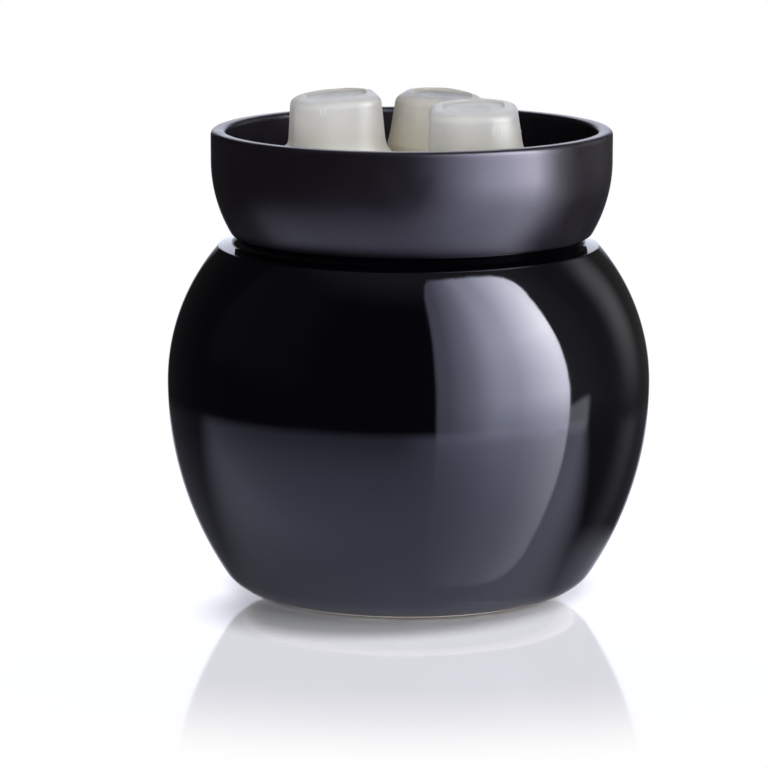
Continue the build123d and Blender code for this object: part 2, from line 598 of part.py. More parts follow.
def parts():
    """Every piece by its name."""
    base_floor = base_top_z + BLOCK_EAR_HEIGHT
    pieces = {
        "ceramic_body": ceramic_body(),
        "wax_dish": wax_dish(),
        **wax_melts(),
        "hot_plate": hot_plate(),
        "heater_carrier": heater_carrier(),
        "neck_seal": disc(carrier_radius, seat_z, flange_z, SEAT_BORE_RADIUS + FIT),
        "mica_sheet_upper": disc(STACK_RADIUS, mica_upper_z, recess_z, STUD_RADIUS + HOLE_FIT),
        "heating_foil": heating_foil(),
        "mica_sheet_lower": stack_disc(mica_lower_z, foil_z),
        "pressure_plate": pressure_plate(),
        "centre_stud": disc(STUD_RADIUS, shield_nut_z - STUD_SPARE, recess_z),
        "pressure_nut": hex_nut(NUT_FLATS, STUD_RADIUS + SNUG_FIT, pressure_z - NUT_HEIGHT, pressure_z),
        "insulation_pad": disc(PAD_RADIUS, shield_z, pressure_z, PAD_BORE_RADIUS),
        "heat_shield": heat_shield(),
        "shield_washer": disc(
            WASHER_RADIUS, shield_under_z - WASHER_THICKNESS, shield_under_z, STUD_RADIUS + HOLE_FIT
        ),
        "shield_nut": hex_nut(NUT_FLATS, STUD_RADIUS + SNUG_FIT, shield_nut_z, shield_nut_z + NUT_HEIGHT),
        "element_tabs": group(tab_places, element_tab()),
        "tab_receptacles": group(tab_places, tab_receptacle()),
        "lead_bushes": group(bush_places, lead_bush()),
        "thermal_fuse": thermal_fuse(),
        "fuse_clip": fuse_clip(),
        "fuse_clip_screw": clip_screw_place * screw(
            CLIP_SCREW_RADIUS,
            CLIP_SCREW_HEAD_RADIUS,
            mica_lower_z - SNUG_FIT,
            pressure_z - CLIP_THICKNESS,
            pressure_z - CLIP_THICKNESS - CLIP_SCREW_HEAD_HEIGHT,
        ),
        **leads(),
        "base_plate": base_plate(),
        "base_gasket": disc(base_radius, base_top_z, BASE_BORE_HEIGHT, FLOOR_OPENING_RADIUS + FIT),
        "tie_bolts": group(
            tie_places,
            screw(BOLT_RADIUS, BOLT_HEAD_RADIUS, shield_z + BOLT_SPARE, bolt_washer_z, base_z),
        ),
        "tie_washers": group(
            tie_places, disc(BOLT_WASHER_RADIUS, bolt_washer_z, bolt_roof_z, BOLT_RADIUS + HOLE_FIT)
        ),
        "weld_nuts": group(
            tie_places,
            hex_nut(WELD_NUT_FLATS, BOLT_RADIUS + SNUG_FIT, shield_under_z - WELD_NUT_HEIGHT, shield_under_z),
        ),
        "terminal_block": terminal_block(),
        "terminal_barrels": terminal_barrels(),
        "terminal_screws": group(
            clamp_places,
            disc(CLAMP_RADIUS, pole_z + LEAD_RADIUS + SNUG_FIT, base_top_z + BLOCK_HEIGHT - CLAMP_RECESS),
        ),
        "block_screws": group(
            block_screw_places,
            screw(
                BLOCK_SCREW_RADIUS,
                BLOCK_SCREW_HEAD_RADIUS,
                base_top_z - BLOCK_SCREW_DEPTH + SNUG_FIT,
                base_floor,
                base_floor + BLOCK_SCREW_HEAD_HEIGHT,
            ),
        ),
        "cord_grommet": cord_grommet(),
    }
    for name, angle in FOOT_ANGLES.items():
        pieces[f"rubber_foot_{name}"] = Rot(0, 0, angle) * rubber_foot()
    return pieces


os.makedirs("parts", exist_ok=True)
for node, shape in parts().items():
    export_step(shape, f"parts/{node}.step")
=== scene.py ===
import json
import math

import bmesh
import bpy
from mathutils import Matrix, Vector, noise


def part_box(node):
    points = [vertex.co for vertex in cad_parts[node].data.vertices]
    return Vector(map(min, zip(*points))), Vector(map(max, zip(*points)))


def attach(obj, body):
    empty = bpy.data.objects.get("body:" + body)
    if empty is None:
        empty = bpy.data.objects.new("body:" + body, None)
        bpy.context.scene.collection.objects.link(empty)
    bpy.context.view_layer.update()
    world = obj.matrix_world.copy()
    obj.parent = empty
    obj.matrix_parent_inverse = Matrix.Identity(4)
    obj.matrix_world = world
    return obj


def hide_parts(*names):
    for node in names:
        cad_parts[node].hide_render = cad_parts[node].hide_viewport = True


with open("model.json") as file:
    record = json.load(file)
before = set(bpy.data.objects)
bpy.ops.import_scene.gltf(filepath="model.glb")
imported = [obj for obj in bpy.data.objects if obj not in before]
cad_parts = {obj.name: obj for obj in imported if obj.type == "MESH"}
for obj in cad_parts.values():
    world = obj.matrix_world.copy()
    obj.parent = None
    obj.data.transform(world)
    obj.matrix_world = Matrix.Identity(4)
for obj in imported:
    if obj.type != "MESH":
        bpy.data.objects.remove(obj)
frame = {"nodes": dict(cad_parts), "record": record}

# The factory scene's own objects go before the CAD box is kept
for leftover in ("Cube", "Light", "Camera"):
    item = bpy.data.objects.get(leftover)
    if item is not None:
        bpy.data.objects.remove(item, do_unlink=True)
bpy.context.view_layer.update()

MM = 0.001
# Points closer than this count as one
SAME_PLACE = 0.001 * MM
# A point nearer to its axis than this isn't moved towards it
NEAR_AXIS = 1 * MM

# Pot, with the sizes of its CAD solid
pot_low, pot_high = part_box("ceramic_body")
BELLY_RADIUS = pot_high.x
NECK_TOP = pot_high.z
FOOT_Z = pot_low.z
BELLY_Z = 56.3 * MM
HEEL_RADIUS = 46.3 * MM
HEEL_FILLET = 11.7 * MM
# The shoulder ends in a soft corner, and a sloping land runs in from there and up to the neck ring.
# The shoulder's arc stops this many degrees before the corner.
NECK_CORNER_LEAD = 0.4
NECK_CORNER = (51.0 * MM, 93.3 * MM)
NECK_CORNER_FILLET = 1.1 * MM
NECK_LAND_END = (47.6 * MM, 94.25 * MM)
NECK_LAND_FILLET = 2.0 * MM
NECK_RING_RADIUS = 46.1 * MM
NECK_RING_FILLET = 0.4 * MM
NECK_LIP_FILLET = 1.2 * MM
NECK_BORE = 44.5 * MM
SEAT_Z = 87.5 * MM
SEAT_BORE = 39.0 * MM
CEILING_Z = 83.0 * MM
POT_WALL = 4.5 * MM
FLOOR_TOP_Z = 10.5 * MM
FLOOR_UNDER_Z = 6.0 * MM
FLOOR_OPENING = 35.0 * MM
BASE_BORE = 39.5 * MM
SOFT_EDGE = 0.7 * MM
NOTCH_HALF_WIDTH = 5.5 * MM
NOTCH_CENTRE_Z = 12.2 * MM
NOTCH_REACH = (20 * MM, 80 * MM)
GLAZE_STEP = 0.14 * MM
GLAZE_EDGE_Z = 1.3 * MM
POT_WAVE = 0.05 * MM
POT_WAVE_SCALE = 34.0
POT_WAVE_SEED = 3.0
POT_SHARP_ANGLE = 38

# Dish, with the sizes of its CAD solid
dish_low, dish_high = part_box("wax_dish")
DISH_X = (dish_low.x + dish_high.x) / 2
DISH_RADIUS = (dish_high.x - dish_low.x) / 2
DISH_RIM_Z = dish_high.z
DISH_FOOT_Z = dish_low.z
DISH_FLOOR_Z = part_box("wax_melt_lower_left")[0].z
PLATE_TOP_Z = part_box("hot_plate")[1].z
DISH_BAND = 8.4 * MM
DISH_SKIRT_RADIUS = 48.2 * MM
DISH_SKIRT_Z = NECK_TOP + 0.4 * MM
DISH_WALL = 4.0 * MM
DISH_FOOT = (38.0 * MM, 43.0 * MM)
DISH_FOOT_FILLET = 0.6 * MM
DISH_LIP_FILLET = 1.5 * MM
DISH_SKIRT_FILLET = 1.4 * MM
DISH_FLOOR_FILLET = 7.0 * MM
# Radii of the rings on the flat middle of the dish, and of the last one inside its foot
DISH_MIDDLE_RINGS = (0.0, 12 * MM, 24 * MM)
DISH_LAST_RING = 34 * MM
DISH_WAVE = 0.04 * MM
DISH_WAVE_SCALE = 40.0
DISH_WAVE_SEED = 11.0
DISH_SHARP_ANGLE = 50

# Wax melts, with the sizes and places of their CAD solids
WAX_HALF = 12.7 * MM
WAX_CORNER = 9.2 * MM
WAX_DRAFT = math.tan(math.radians(4.3))
WAX_FLANGE = 1.0 * MM
WAX_FLANGE_THICKNESS = 1.4 * MM
WAX_TOP_FILLET = 2.9 * MM
WAX_SEAT_FILLET = 3.6 * MM
WAX_ROOT_RISE = 3.8 * MM
WAX_ROOT_SHARE = 0.8
WAX_GAP = 0.3 * MM
WAX_CREST_DROP = 0.08 * MM
WAX_BASE_RINGS = (0.3, 0.6, 0.85)
# The top is dished inside a narrow bead. Arcs are in degrees, and the shoulder's drop is in beads.
WAX_SHOULDER_DROP = 0.4
WAX_SHOULDER_ARC = (4, 84)
WAX_BEAD = 0.42 * MM
WAX_BEAD_ARC = (60, 165)
WAX_BEAD_STEP = 0.80 * MM
WAX_BEAD_FOOT = 1.5 * MM
WAX_BEAD_ROUNDNESS = 0.86
WAX_BOWL_DEPTH = 0.45 * MM
WAX_HOLLOW_SHARE = 0.58
WAX_HOLLOW_SOFT = 0.08
# The forward lean of the top starts at this share of the half width behind the middle
WAX_LEAN_START = 0.75
WAX_WAVE = 0.16 * MM
WAX_WAVE_SCALE = 130.0
WAX_TOP_WAVE = 0.22 * MM
WAX_TOP_WAVE_SCALE = 260.0
WAX_LOWER_SEED = 5.0
WAX_UPPER_SEED = 15.0
WAX_SHARP_ANGLE = 60
# A melt's shape: its flange, the slants of its top to the right and to the front in degrees, the slump of the
# top's right half, and the depth of a second hollow in the top. The lower melts have the plain shape.
WAX_PLAIN_SHAPE = dict(flange=WAX_FLANGE, slant=0.0, lean=0.0, slump=0.0, hollow=0.0)
# A stack's place in the dish, its turn, the height of its melts, and the upper one's roll, pitch and shape.
# The seam between the two melts lies this drop under its CAD place, so that no dark gap shows there.
WAX_STACKS = {
    "left": dict(
        x=-19.9 * MM, y=-4.0 * MM, turn=10.0, height=16.9 * MM, seam_drop=0.9 * MM, roll=-1.3, pitch=0.0,
        shape=dict(flange=1.3 * MM, slant=-2.9, lean=3.2, slump=0.0, hollow=0.0)),
    "rear": dict(
        x=6.95 * MM, y=15.5 * MM, turn=-12.0, height=15.7 * MM, seam_drop=2.0 * MM, roll=4.6, pitch=0.0,
        shape=dict(flange=0.25 * MM, slant=-2.2, lean=2.5, slump=1.3 * MM, hollow=0.0)),
    "right": dict(
        x=17.1 * MM, y=-15.5 * MM, turn=0.0, height=15.7 * MM, seam_drop=0.9 * MM, roll=-3.8, pitch=3.0,
        shape=dict(flange=0.8 * MM, slant=2.3, lean=2.6, slump=0.0, hollow=0.35 * MM)),
}
# Small marks on one melt each. The direction is in degrees.
WAX_MARKS = {
    "wax_melt_left": [
        dict(direction=183.0, level=1.0 * MM, outwards=0.9 * MM, upwards=0.8 * MM, radius=3.4 * MM)],
    "wax_melt_right": [
        dict(direction=2.0, level=7.4 * MM, outwards=0.55 * MM, upwards=0.15 * MM, radius=0.75 * MM)],
}
# Scuffs of the wax: middle and half sizes
WAX_SCUFFS = [
    (Vector((22.9, -27.6, 126.6)) * MM, Vector((2.0, 4.0, 3.8)) * MM),
    (Vector((-22.6, -16.0, 130.6)) * MM, Vector((1.8, 4.0, 1.6)) * MM),
]

LATHE_SEGMENTS = 256
MELT_SEGMENTS = 176
DISC_SEGMENTS = 128

# Camera, solved from the photograph's outline
CAMERA_PLACE = (0.0, -1.08824, 0.25231)
CAMERA_TILT = 10.2755
CAMERA_TURN = 0.3474
CAMERA_LENS = 191.90
CAMERA_SENSOR = 36.0


# Numbers and outlines

def smooth(low, high, value):
    """A soft step from 0 at low to 1 at high."""
    share = min(max((value - low) / (high - low), 0.0), 1.0)
    return share * share * (3 - 2 * share)


def band(value, start, end):
    """1 between two soft edges, and 0 outside them."""
    return smooth(*start, value) * (1 - smooth(*end, value))


def between(points, value):
    """A value read off a run of (place, value) points."""
    if value <= points[0][0]:
        return points[0][1]
    for (a, low), (b, high) in zip(points, points[1:]):
        if value <= b:
            return low + (high - low) * (value - a) / (b - a)
    return points[-1][1]


def arc(centre, radius, start, end, steps):
    """Points (r, z) on an arc, with angles in degrees from the outward direction."""
    points = []
    for step in range(steps + 1):
        angle = math.radians(start + (end - start) * step / steps)
        points.append((centre[0] + radius * math.cos(angle), centre[1] + radius * math.sin(angle)))
    return points


def tangent_arc(rise, run):
    """Radius of an arc that leaves the upright and moves in by run over rise."""
    return (rise ** 2 + run ** 2) / (2 * run)


def level_fillet(centre, radius, level, fillet, side):
    """Centre of a fillet inside an arc and on a level line, and the angle where it meets the arc."""
    z = level + side * fillet
    r = centre[0] + math.sqrt((radius - fillet) ** 2 - (z - centre[1]) ** 2)
    return (r, z), math.degrees(math.atan2(z - centre[1], r - centre[0]))


def rounded(corners, steps=5):
    """A run of straight lines with its inner corners rounded. Each corner is (r, z, radius)."""
    points = [corners[0][:2]]
    for before, corner, after in zip(corners, corners[1:], corners[2:]):
        here = Vector(corner[:2])
        back = (Vector(before[:2]) - here).normalized()
        ahead = (Vector(after[:2]) - here).normalized()
        if corner[2] == 0:
            points.append(tuple(here))
            continue
        half = back.angle(ahead) / 2
        reach = corner[2] / math.tan(half)
        centre = here + (back + ahead).normalized() * (corner[2] / math.sin(half))
        first = here + back * reach - centre
        last = here + ahead * reach - centre
        for step in range(steps + 1):
            points.append(tuple(centre + first.lerp(last, step / steps).normalized() * corner[2]))
    points.append(corners[-1][:2])
    return points


def without_repeats(points):
    """The same points with neighbours that coincide left out."""
    kept = [points[0]]
    for point in points[1:]:
        if (Vector(point) - Vector(kept[-1])).length > SAME_PLACE:
            kept.append(point)
    return kept


# Meshes

def add_object(name, mesh, sharp_angle=None):
    """Puts a mesh in the scene, smooth apart from edges sharper than an angle."""
    mesh.polygons.foreach_set("use_smooth", [True] * len(mesh.polygons))
    if sharp_angle is not None:
        mesh.set_sharp_from_angle(angle=math.radians(sharp_angle))
    made = bpy.data.objects.new(name, mesh)
    bpy.context.scene.collection.objects.link(made)
    return made


def finished_mesh(name, build):
    """A mesh from a bmesh, which is freed."""
    mesh = bpy.data.meshes.new(name)
    build.to_mesh(mesh)
    build.free()
    return mesh


def skin_rings(name, rings, closed=False):
    """A mesh over rings of points. A ring of one point is a pole."""
    build = bmesh.new()
    made = [[build.verts.new(point) for point in ring] for ring in rings]
    follow = made[1:] + made[:1] if closed else made[1:]
    for low, high in zip(made, follow):
        count = max(len(low), len(high))
        for k in range(count):
            n = (k + 1) % count
            if len(low) == 1:
                build.faces.new((low[0], high[k], high[n]))
            elif len(high) == 1:
                build.faces.new((low[k], low[n], high[0]))
            else:
                build.faces.new((low[k], low[n], high[n], high[k]))
    bmesh.ops.recalc_face_normals(build, faces=build.faces)
    return finished_mesh(name, build)


def turned_rings(profile, axis_x):
    """Rings of a turned shape about an upright axis."""
    rings = []
    for r, z in profile:
        if r < SAME_PLACE:
            rings.append([(axis_x, 0.0, z)])
            continue
        ring = []
        for k in range(LATHE_SEGMENTS):
            angle = 2 * math.pi * k / LATHE_SEGMENTS
            ring.append((axis_x + r * math.cos(angle), r * math.sin(angle), z))
        rings.append(ring)
    return rings


def wave_inwards(mesh, axis_x, depth, scale, seed):
    """Hand-made unevenness: each point moves a little towards the axis, by slow noise."""
    for vertex in mesh.vertices:
        place = Vector((vertex.co.x * scale + seed, vertex.co.y * scale, vertex.co.z * scale))
        share = 0.5 + 0.5 * noise.noise(place)
        out = Vector((vertex.co.x - axis_x, vertex.co.y, 0.0))
        if out.length > NEAR_AXIS:
            vertex.co -= out.normalized() * depth * share


# Pot

def pot_profile():
    """The closed section of the pot, from the foot up the outside and down the inside."""
    low_arc = tangent_arc(BELLY_Z, BELLY_RADIUS - HEEL_RADIUS)
    low_centre = (BELLY_RADIUS - low_arc, BELLY_Z)
    high_arc = tangent_arc(NECK_CORNER[1] - BELLY_Z, BELLY_RADIUS - NECK_CORNER[0])
    high_centre = (BELLY_RADIUS - high_arc, BELLY_Z)
    heel, heel_angle = level_fillet(low_centre, low_arc, 0.0, HEEL_FILLET, 1)
    corner_angle = math.degrees(math.asin((NECK_CORNER[1] - BELLY_Z) / high_arc))

    def heel_angle_at(z):
        """The angle of the heel's fillet at a height."""
        return math.degrees(math.asin((z - heel[1]) / HEEL_FILLET))

    bare = arc(heel, HEEL_FILLET - GLAZE_STEP, heel_angle_at(FOOT_Z), heel_angle_at(GLAZE_EDGE_Z), steps=4)
    outside = arc(heel, HEEL_FILLET, heel_angle_at(GLAZE_EDGE_Z + GLAZE_STEP), heel_angle, steps=28)
    outside += arc(low_centre, low_arc, heel_angle, 0, steps=48)
    outside += arc(high_centre, high_arc, 0, corner_angle - NECK_CORNER_LEAD, steps=44)
    lip_centre = (NECK_BORE + NECK_LIP_FILLET, NECK_TOP - NECK_LIP_FILLET)
    lip = arc(lip_centre, NECK_LIP_FILLET, 90, 180, steps=8)
    neck = rounded([
        (*outside[-1], 0),
        (*NECK_CORNER, NECK_CORNER_FILLET),
        (*NECK_LAND_END, NECK_LAND_FILLET),
        (NECK_RING_RADIUS, NECK_TOP, NECK_RING_FILLET),
        (*lip[0], 0),
    ], steps=8)
    high_inner = high_arc - POT_WALL
    low_inner = low_arc - POT_WALL
    ceiling_angle = math.degrees(math.asin((CEILING_Z - BELLY_Z) / high_inner))
    floor_angle = math.degrees(math.asin((FLOOR_TOP_Z - BELLY_Z) / low_inner))
    inside = arc(high_centre, high_inner, ceiling_angle, 0, steps=20)
    inside += arc(low_centre, low_inner, 0, floor_angle, steps=24)
    seat = rounded([
        (*lip[-1], 0),
        (NECK_BORE, SEAT_Z, SOFT_EDGE),
        (SEAT_BORE, SEAT_Z, SOFT_EDGE),
        (SEAT_BORE, CEILING_Z, SOFT_EDGE),
        (*inside[0], 0),
    ])
    base = rounded([
        (*inside[-1], 0),
        (FLOOR_OPENING, FLOOR_TOP_Z, SOFT_EDGE),
        (FLOOR_OPENING, FLOOR_UNDER_Z, SOFT_EDGE),
        (BASE_BORE, FLOOR_UNDER_Z, SOFT_EDGE),
        (BASE_BORE, FOOT_Z, SOFT_EDGE),
        (*bare[0], 0),
    ])
    return without_repeats(bare + outside + neck + lip + seat + inside + base)[:-1]


def notch_cutter():
    """The arch that the cord's way is cut with, open at the foot."""
    outline = [(NOTCH_HALF_WIDTH, -NOTCH_HALF_WIDTH)]
    outline += arc((0, NOTCH_CENTRE_Z), NOTCH_HALF_WIDTH, 0, 180, steps=40)
    outline += [(-NOTCH_HALF_WIDTH, -NOTCH_HALF_WIDTH)]
    build = bmesh.new()
    near = [build.verts.new((x, NOTCH_REACH[0], z)) for x, z in outline]
    far = [build.verts.new((x, NOTCH_REACH[1], z)) for x, z in outline]
    build.faces.new(near)
    build.faces.new(far)
    for k in range(len(outline)):
        n = (k + 1) % len(outline)
        build.faces.new((near[k], near[n], far[n], far[k]))
    bmesh.ops.recalc_face_normals(build, faces=build.faces)
    return finished_mesh("notch_cutter", build)


def cut(mesh, cutter_mesh):
    """The mesh with the cutter's volume taken out."""
    body = bpy.data.objects.new("cut_body", mesh)
    cutter = bpy.data.objects.new("cut_tool", cutter_mesh)
    for part in (body, cutter):
        bpy.context.scene.collection.objects.link(part)
    step = body.modifiers.new("cut", "BOOLEAN")
    step.operation = "DIFFERENCE"
    step.solver = "EXACT"
    step.object = cutter
    done = bpy.data.meshes.new_from_object(body.evaluated_get(bpy.context.evaluated_depsgraph_get()))
    for part in (body, cutter):
        bpy.data.objects.remove(part, do_unlink=True)
    done.materials.clear()
    return done


def make_pot():
    """The turned pot with the cord's way cut in its foot."""
    turned = skin_rings("pot", turned_rings(pot_profile(), 0.0), closed=True)
    wave_inwards(turned, 0.0, POT_WAVE, POT_WAVE_SCALE, POT_WAVE_SEED)
    mesh = cut(turned, notch_cutter())
    mesh.name = "glazed_pot"
    pot = add_object("glazed_pot", mesh, POT_SHARP_ANGLE)
    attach(pot, "base")
    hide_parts("ceramic_body")
    return pot


# Dish

def dish_profile():
    """The section of the dish, from the middle of its underside round to the middle of its floor."""
    band_z = DISH_RIM_Z - DISH_BAND
    bowl = tangent_arc(band_z - DISH_SKIRT_Z, DISH_RADIUS - DISH_SKIRT_RADIUS)
    centre = (DISH_RADIUS - bowl, band_z)
    skirt, skirt_angle = level_fillet(centre, bowl, DISH_SKIRT_Z, DISH_SKIRT_FILLET, 1)
    basin, basin_angle = level_fillet(centre, bowl - DISH_WALL, DISH_FLOOR_Z, DISH_FLOOR_FILLET, 1)
    under = [(r, PLATE_TOP_Z) for r in DISH_MIDDLE_RINGS]
    under += rounded([
        (DISH_LAST_RING, PLATE_TOP_Z, 0),
        (DISH_FOOT[0], PLATE_TOP_Z, DISH_FOOT_FILLET),
        (DISH_FOOT[0], DISH_FOOT_Z, DISH_FOOT_FILLET),
        (DISH_FOOT[1], DISH_FOOT_Z, DISH_FOOT_FILLET),
        (DISH_FOOT[1], DISH_SKIRT_Z, DISH_FOOT_FILLET),
        (skirt[0], DISH_SKIRT_Z, 0),
    ])
    outside = arc(skirt, DISH_SKIRT_FILLET, -90, skirt_angle, steps=10)
    outside += arc(centre, bowl, skirt_angle, 0, steps=36)
    lip_z = DISH_RIM_Z - DISH_LIP_FILLET
    side = [(DISH_RADIUS, band_z + (lip_z - band_z) * step / 6) for step in range(1, 6)]
    lip = arc((DISH_RADIUS - DISH_LIP_FILLET, lip_z), DISH_LIP_FILLET, 0, 90, steps=12)
    lip += arc((DISH_RADIUS - DISH_WALL + DISH_LIP_FILLET, lip_z), DISH_LIP_FILLET, 90, 180, steps=12)
    inside = [(DISH_RADIUS - DISH_WALL, z) for r, z in reversed(side)]
    inside += arc(centre, bowl - DISH_WALL, 0, basin_angle, steps=24)
    inside += arc(basin, DISH_FLOOR_FILLET, basin_angle, -90, steps=12)
    inside += [(r, DISH_FLOOR_Z) for r in reversed(DISH_MIDDLE_RINGS)]
    return without_repeats(under + outside + side + lip + inside)


def make_dish():
    """The turned dish."""
    mesh = skin_rings("glazed_dish", turned_rings(dish_profile(), DISH_X))
    wave_inwards(mesh, DISH_X, DISH_WAVE, DISH_WAVE_SCALE, DISH_WAVE_SEED)
    dish = add_object("glazed_dish", mesh, DISH_SHARP_ANGLE)
    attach(dish, "dish")
    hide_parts("wax_dish")
    return dish


# Wax melts

def square_reach(angle, half, corner):
    """Distance from the middle to the edge of a rounded square, in one direction."""
    x, y = abs(math.cos(angle)), abs(math.sin(angle))
    straight = half / max(x, y)
    if min(x, y) * straight <= half - corner:
        return straight
    middle = (half - corner) * (x + y)
    return middle + math.sqrt(max(corner ** 2 - 2 * (half - corner) ** 2 + middle ** 2, 0.0))


def square_ring(z, half, corner):
    """One level of a melt."""
    ring = []
    for k in range(MELT_SEGMENTS):
        angle = 2 * math.pi * k / MELT_SEGMENTS
        reach = square_reach(angle, half, min(corner, half))
        ring.append(Vector((reach * math.cos(angle), reach * math.sin(angle), z)))
    return ring


def melt_section(base, height, spread, hollow):
    """The section (r, z) of a melt, from its base to its top, and the inner radius of its shoulder."""
    edge = WAX_FLANGE_THICKNESS / 2
    flange_half = WAX_HALF + spread
    shoulder_z = height - WAX_TOP_FILLET - WAX_SHOULDER_DROP * WAX_BEAD
    flange = arc((flange_half - edge, base + edge), edge, -90, 0, steps=5)
    flange_end = math.degrees(math.acos(1 - (1 - WAX_ROOT_SHARE) * spread / edge))
    flange += arc((flange_half - edge, edge), edge, 0, flange_end, steps=5)
    side = []
    steps = 26
    first = flange[-1][1]
    for step in range(1, steps + 1):
        z = first + (shoulder_z - first) * step / steps
        narrowing = max(z - WAX_FLANGE_THICKNESS, 0) * WAX_DRAFT
        root = 1 - min(max(z - WAX_FLANGE_THICKNESS, 0) / WAX_ROOT_RISE, 1)
        flare = WAX_ROOT_SHARE * spread * (1 - math.sqrt(1 - root ** 2))
        side.append((WAX_HALF - narrowing + flare, z))
    shoulder = side[-1][0] - WAX_TOP_FILLET
    fillet = arc((shoulder, shoulder_z), WAX_TOP_FILLET, *WAX_SHOULDER_ARC, steps=14)
    bead = arc((shoulder - WAX_BEAD, height - WAX_BEAD), WAX_BEAD, *WAX_BEAD_ARC, steps=8)
    bowl_edge = shoulder - WAX_BEAD_FOOT
    bowl = []
    steps = 18
    for step in range(steps):
        share = 1 - step / steps
        inner = smooth(WAX_HOLLOW_SHARE + WAX_HOLLOW_SOFT, WAX_HOLLOW_SHARE - WAX_HOLLOW_SOFT, share)
        z = height - WAX_BEAD_STEP - WAX_BOWL_DEPTH * (1 - share ** 2) - hollow * inner
        bowl.append((bowl_edge * share, z))
    return without_repeats(flange + side + fillet + bead + bowl), shoulder


def melt_rings(base, height, spread, hollow):
    """Levels of a melt from the middle of its base to the middle of its top."""
    section, shoulder = melt_section(base, height, spread, hollow)
    corner_offset = WAX_HALF - WAX_CORNER
    rings = [[Vector((0, 0, base))]]
    for share in WAX_BASE_RINGS:
        rings.append(square_ring(base, section[0][0] * share, (section[0][0] - corner_offset) * share))
    for r, z in section:
        square = r - corner_offset
        top = smooth(shoulder + WAX_TOP_FILLET, shoulder, r) if z > height / 2 else 0.0
        rings.append(square_ring(z, r, square + (r * WAX_BEAD_ROUNDNESS - square) * top))
    rings.append([Vector((0, 0, section[-1][1]))])
    return rings


def slanted(point, height, shape):
    """Tips the top of a melt to the right and to the front and lowers its right half, most at the top."""
    share = min(max((point.z - WAX_FLANGE_THICKNESS) / (height - WAX_FLANGE_THICKNESS), 0), 1)
    slump = shape["slump"] * max(point.x / WAX_HALF, 0) ** 2
    drop = point.x * math.tan(math.radians(shape["slant"])) + slump
    drop += max(WAX_HALF * WAX_LEAN_START - point.y, 0) * math.tan(math.radians(shape["lean"]))
    return Vector((point.x, point.y, point.z - drop * share))


def seat_lift(height, turn, roll, pitch):
    """Rise of a tipped melt so that its base just clears the level top of the melt under it."""
    slope = Vector((-math.sin(math.radians(roll)), math.sin(math.radians(pitch))))
    slope.rotate(Matrix.Rotation(math.radians(-turn), 2))
    straight = WAX_HALF - WAX_CORNER
    corner = WAX_CORNER - (height - WAX_FLANGE_THICKNESS) * WAX_DRAFT - WAX_SEAT_FILLET
    return straight * (abs(slope.x) + abs(slope.y)) + corner * slope.length


def weather_melt(mesh, height, marks, seed):
    """Dents the sides and the top a little, by noise, and pulls out the melt's marks."""
    spot = Vector((seed, 2 * seed, 3 * seed))
    for vertex in mesh.vertices:
        point = vertex.co.copy()
        out = Vector((point.x, point.y, 0))
        rise = smooth(WAX_FLANGE_THICKNESS, WAX_FLANGE_THICKNESS + WAX_ROOT_RISE, point.z)
        if out.length > NEAR_AXIS:
            side = 0.5 + 0.5 * noise.noise(point * WAX_WAVE_SCALE + spot)
            vertex.co -= out.normalized() * WAX_WAVE * side * rise
        crest = smooth(height - WAX_TOP_FILLET, height - WAX_BEAD, point.z)
        vertex.co.z -= WAX_TOP_WAVE * crest * (0.5 + 0.5 * noise.noise(point * WAX_TOP_WAVE_SCALE + spot))
        for mark in marks:
            angle = math.radians(mark["direction"])
            about = Vector((math.cos(angle), math.sin(angle), 0))
            middle = about * (WAX_HALF + WAX_FLANGE * (1 - rise)) + Vector((0, 0, mark["level"]))
            share = smooth(mark["radius"], 0.0, (point - middle).length)
            vertex.co += (about * mark["outwards"] + Vector((0, 0, mark["upwards"]))) * share


def make_melt(node, place, turn, base, height, shape, seed):
    """One melt in its place."""
    about = Matrix.Rotation(math.radians(turn), 3, "Z")
    rings = []
    for ring in melt_rings(base, height, shape["flange"], shape["hollow"]):
        rings.append([slanted(about @ point, height, shape) for point in ring])
    mesh = skin_rings(f"soft_{node}", rings)
    weather_melt(mesh, height, WAX_MARKS.get(node, []), seed)
    mesh.transform(place)
    melt = add_object(f"soft_{node}", mesh, WAX_SHARP_ANGLE)
    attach(melt, node.replace("wax_", ""))
    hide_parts(node)
    return melt


def make_melts():
    """The six melts, two in each stack."""
    melts = []
    for index, (side, row) in enumerate(WAX_STACKS.items()):
        height, turn, drop = row["height"], row["turn"], row["seam_drop"]
        roll, pitch = row["roll"], row["pitch"]
        stack = Matrix.Translation((DISH_X + row["x"], row["y"], DISH_FLOOR_Z))
        lift = height + WAX_GAP + seat_lift(height, turn, roll, pitch)
        tip = Matrix.Rotation(math.radians(pitch), 4, "X") @ Matrix.Rotation(math.radians(roll), 4, "Y")
        upper = stack @ Matrix.Translation((0, 0, lift)) @ tip
        crest = height - WAX_CREST_DROP
        melts.append(make_melt(f"wax_melt_lower_{side}", stack, turn, 0.0, crest - drop, WAX_PLAIN_SHAPE,
                               WAX_LOWER_SEED + index))
        melts.append(make_melt(f"wax_melt_{side}", upper, turn, -drop, crest, row["shape"],
                               WAX_UPPER_SEED + index))
    return melts


# Shader nodes

def put(tree, socket, value):
    """Links an input to a socket, or sets it to a value."""
    if isinstance(value, bpy.types.NodeSocket):
        tree.links.new(value, socket)
    else:
        socket.default_value = value


def add(tree, kind, settings=None, **inputs):
    """A shader node. Settings are its properties, and inputs are values or sockets by input name."""
    made = tree.nodes.new(kind)
    for key, value in (settings or {}).items():
        setattr(made, key, value)
    for key, value in inputs.items():
        put(tree, made.inputs[key.replace("_", " ")], value)
    return made


def new_material(name):
    """An empty node material, and its tree."""
    made = bpy.data.materials.new(name)
    made.use_nodes = True
    made.node_tree.nodes.clear()
    return made, made.node_tree


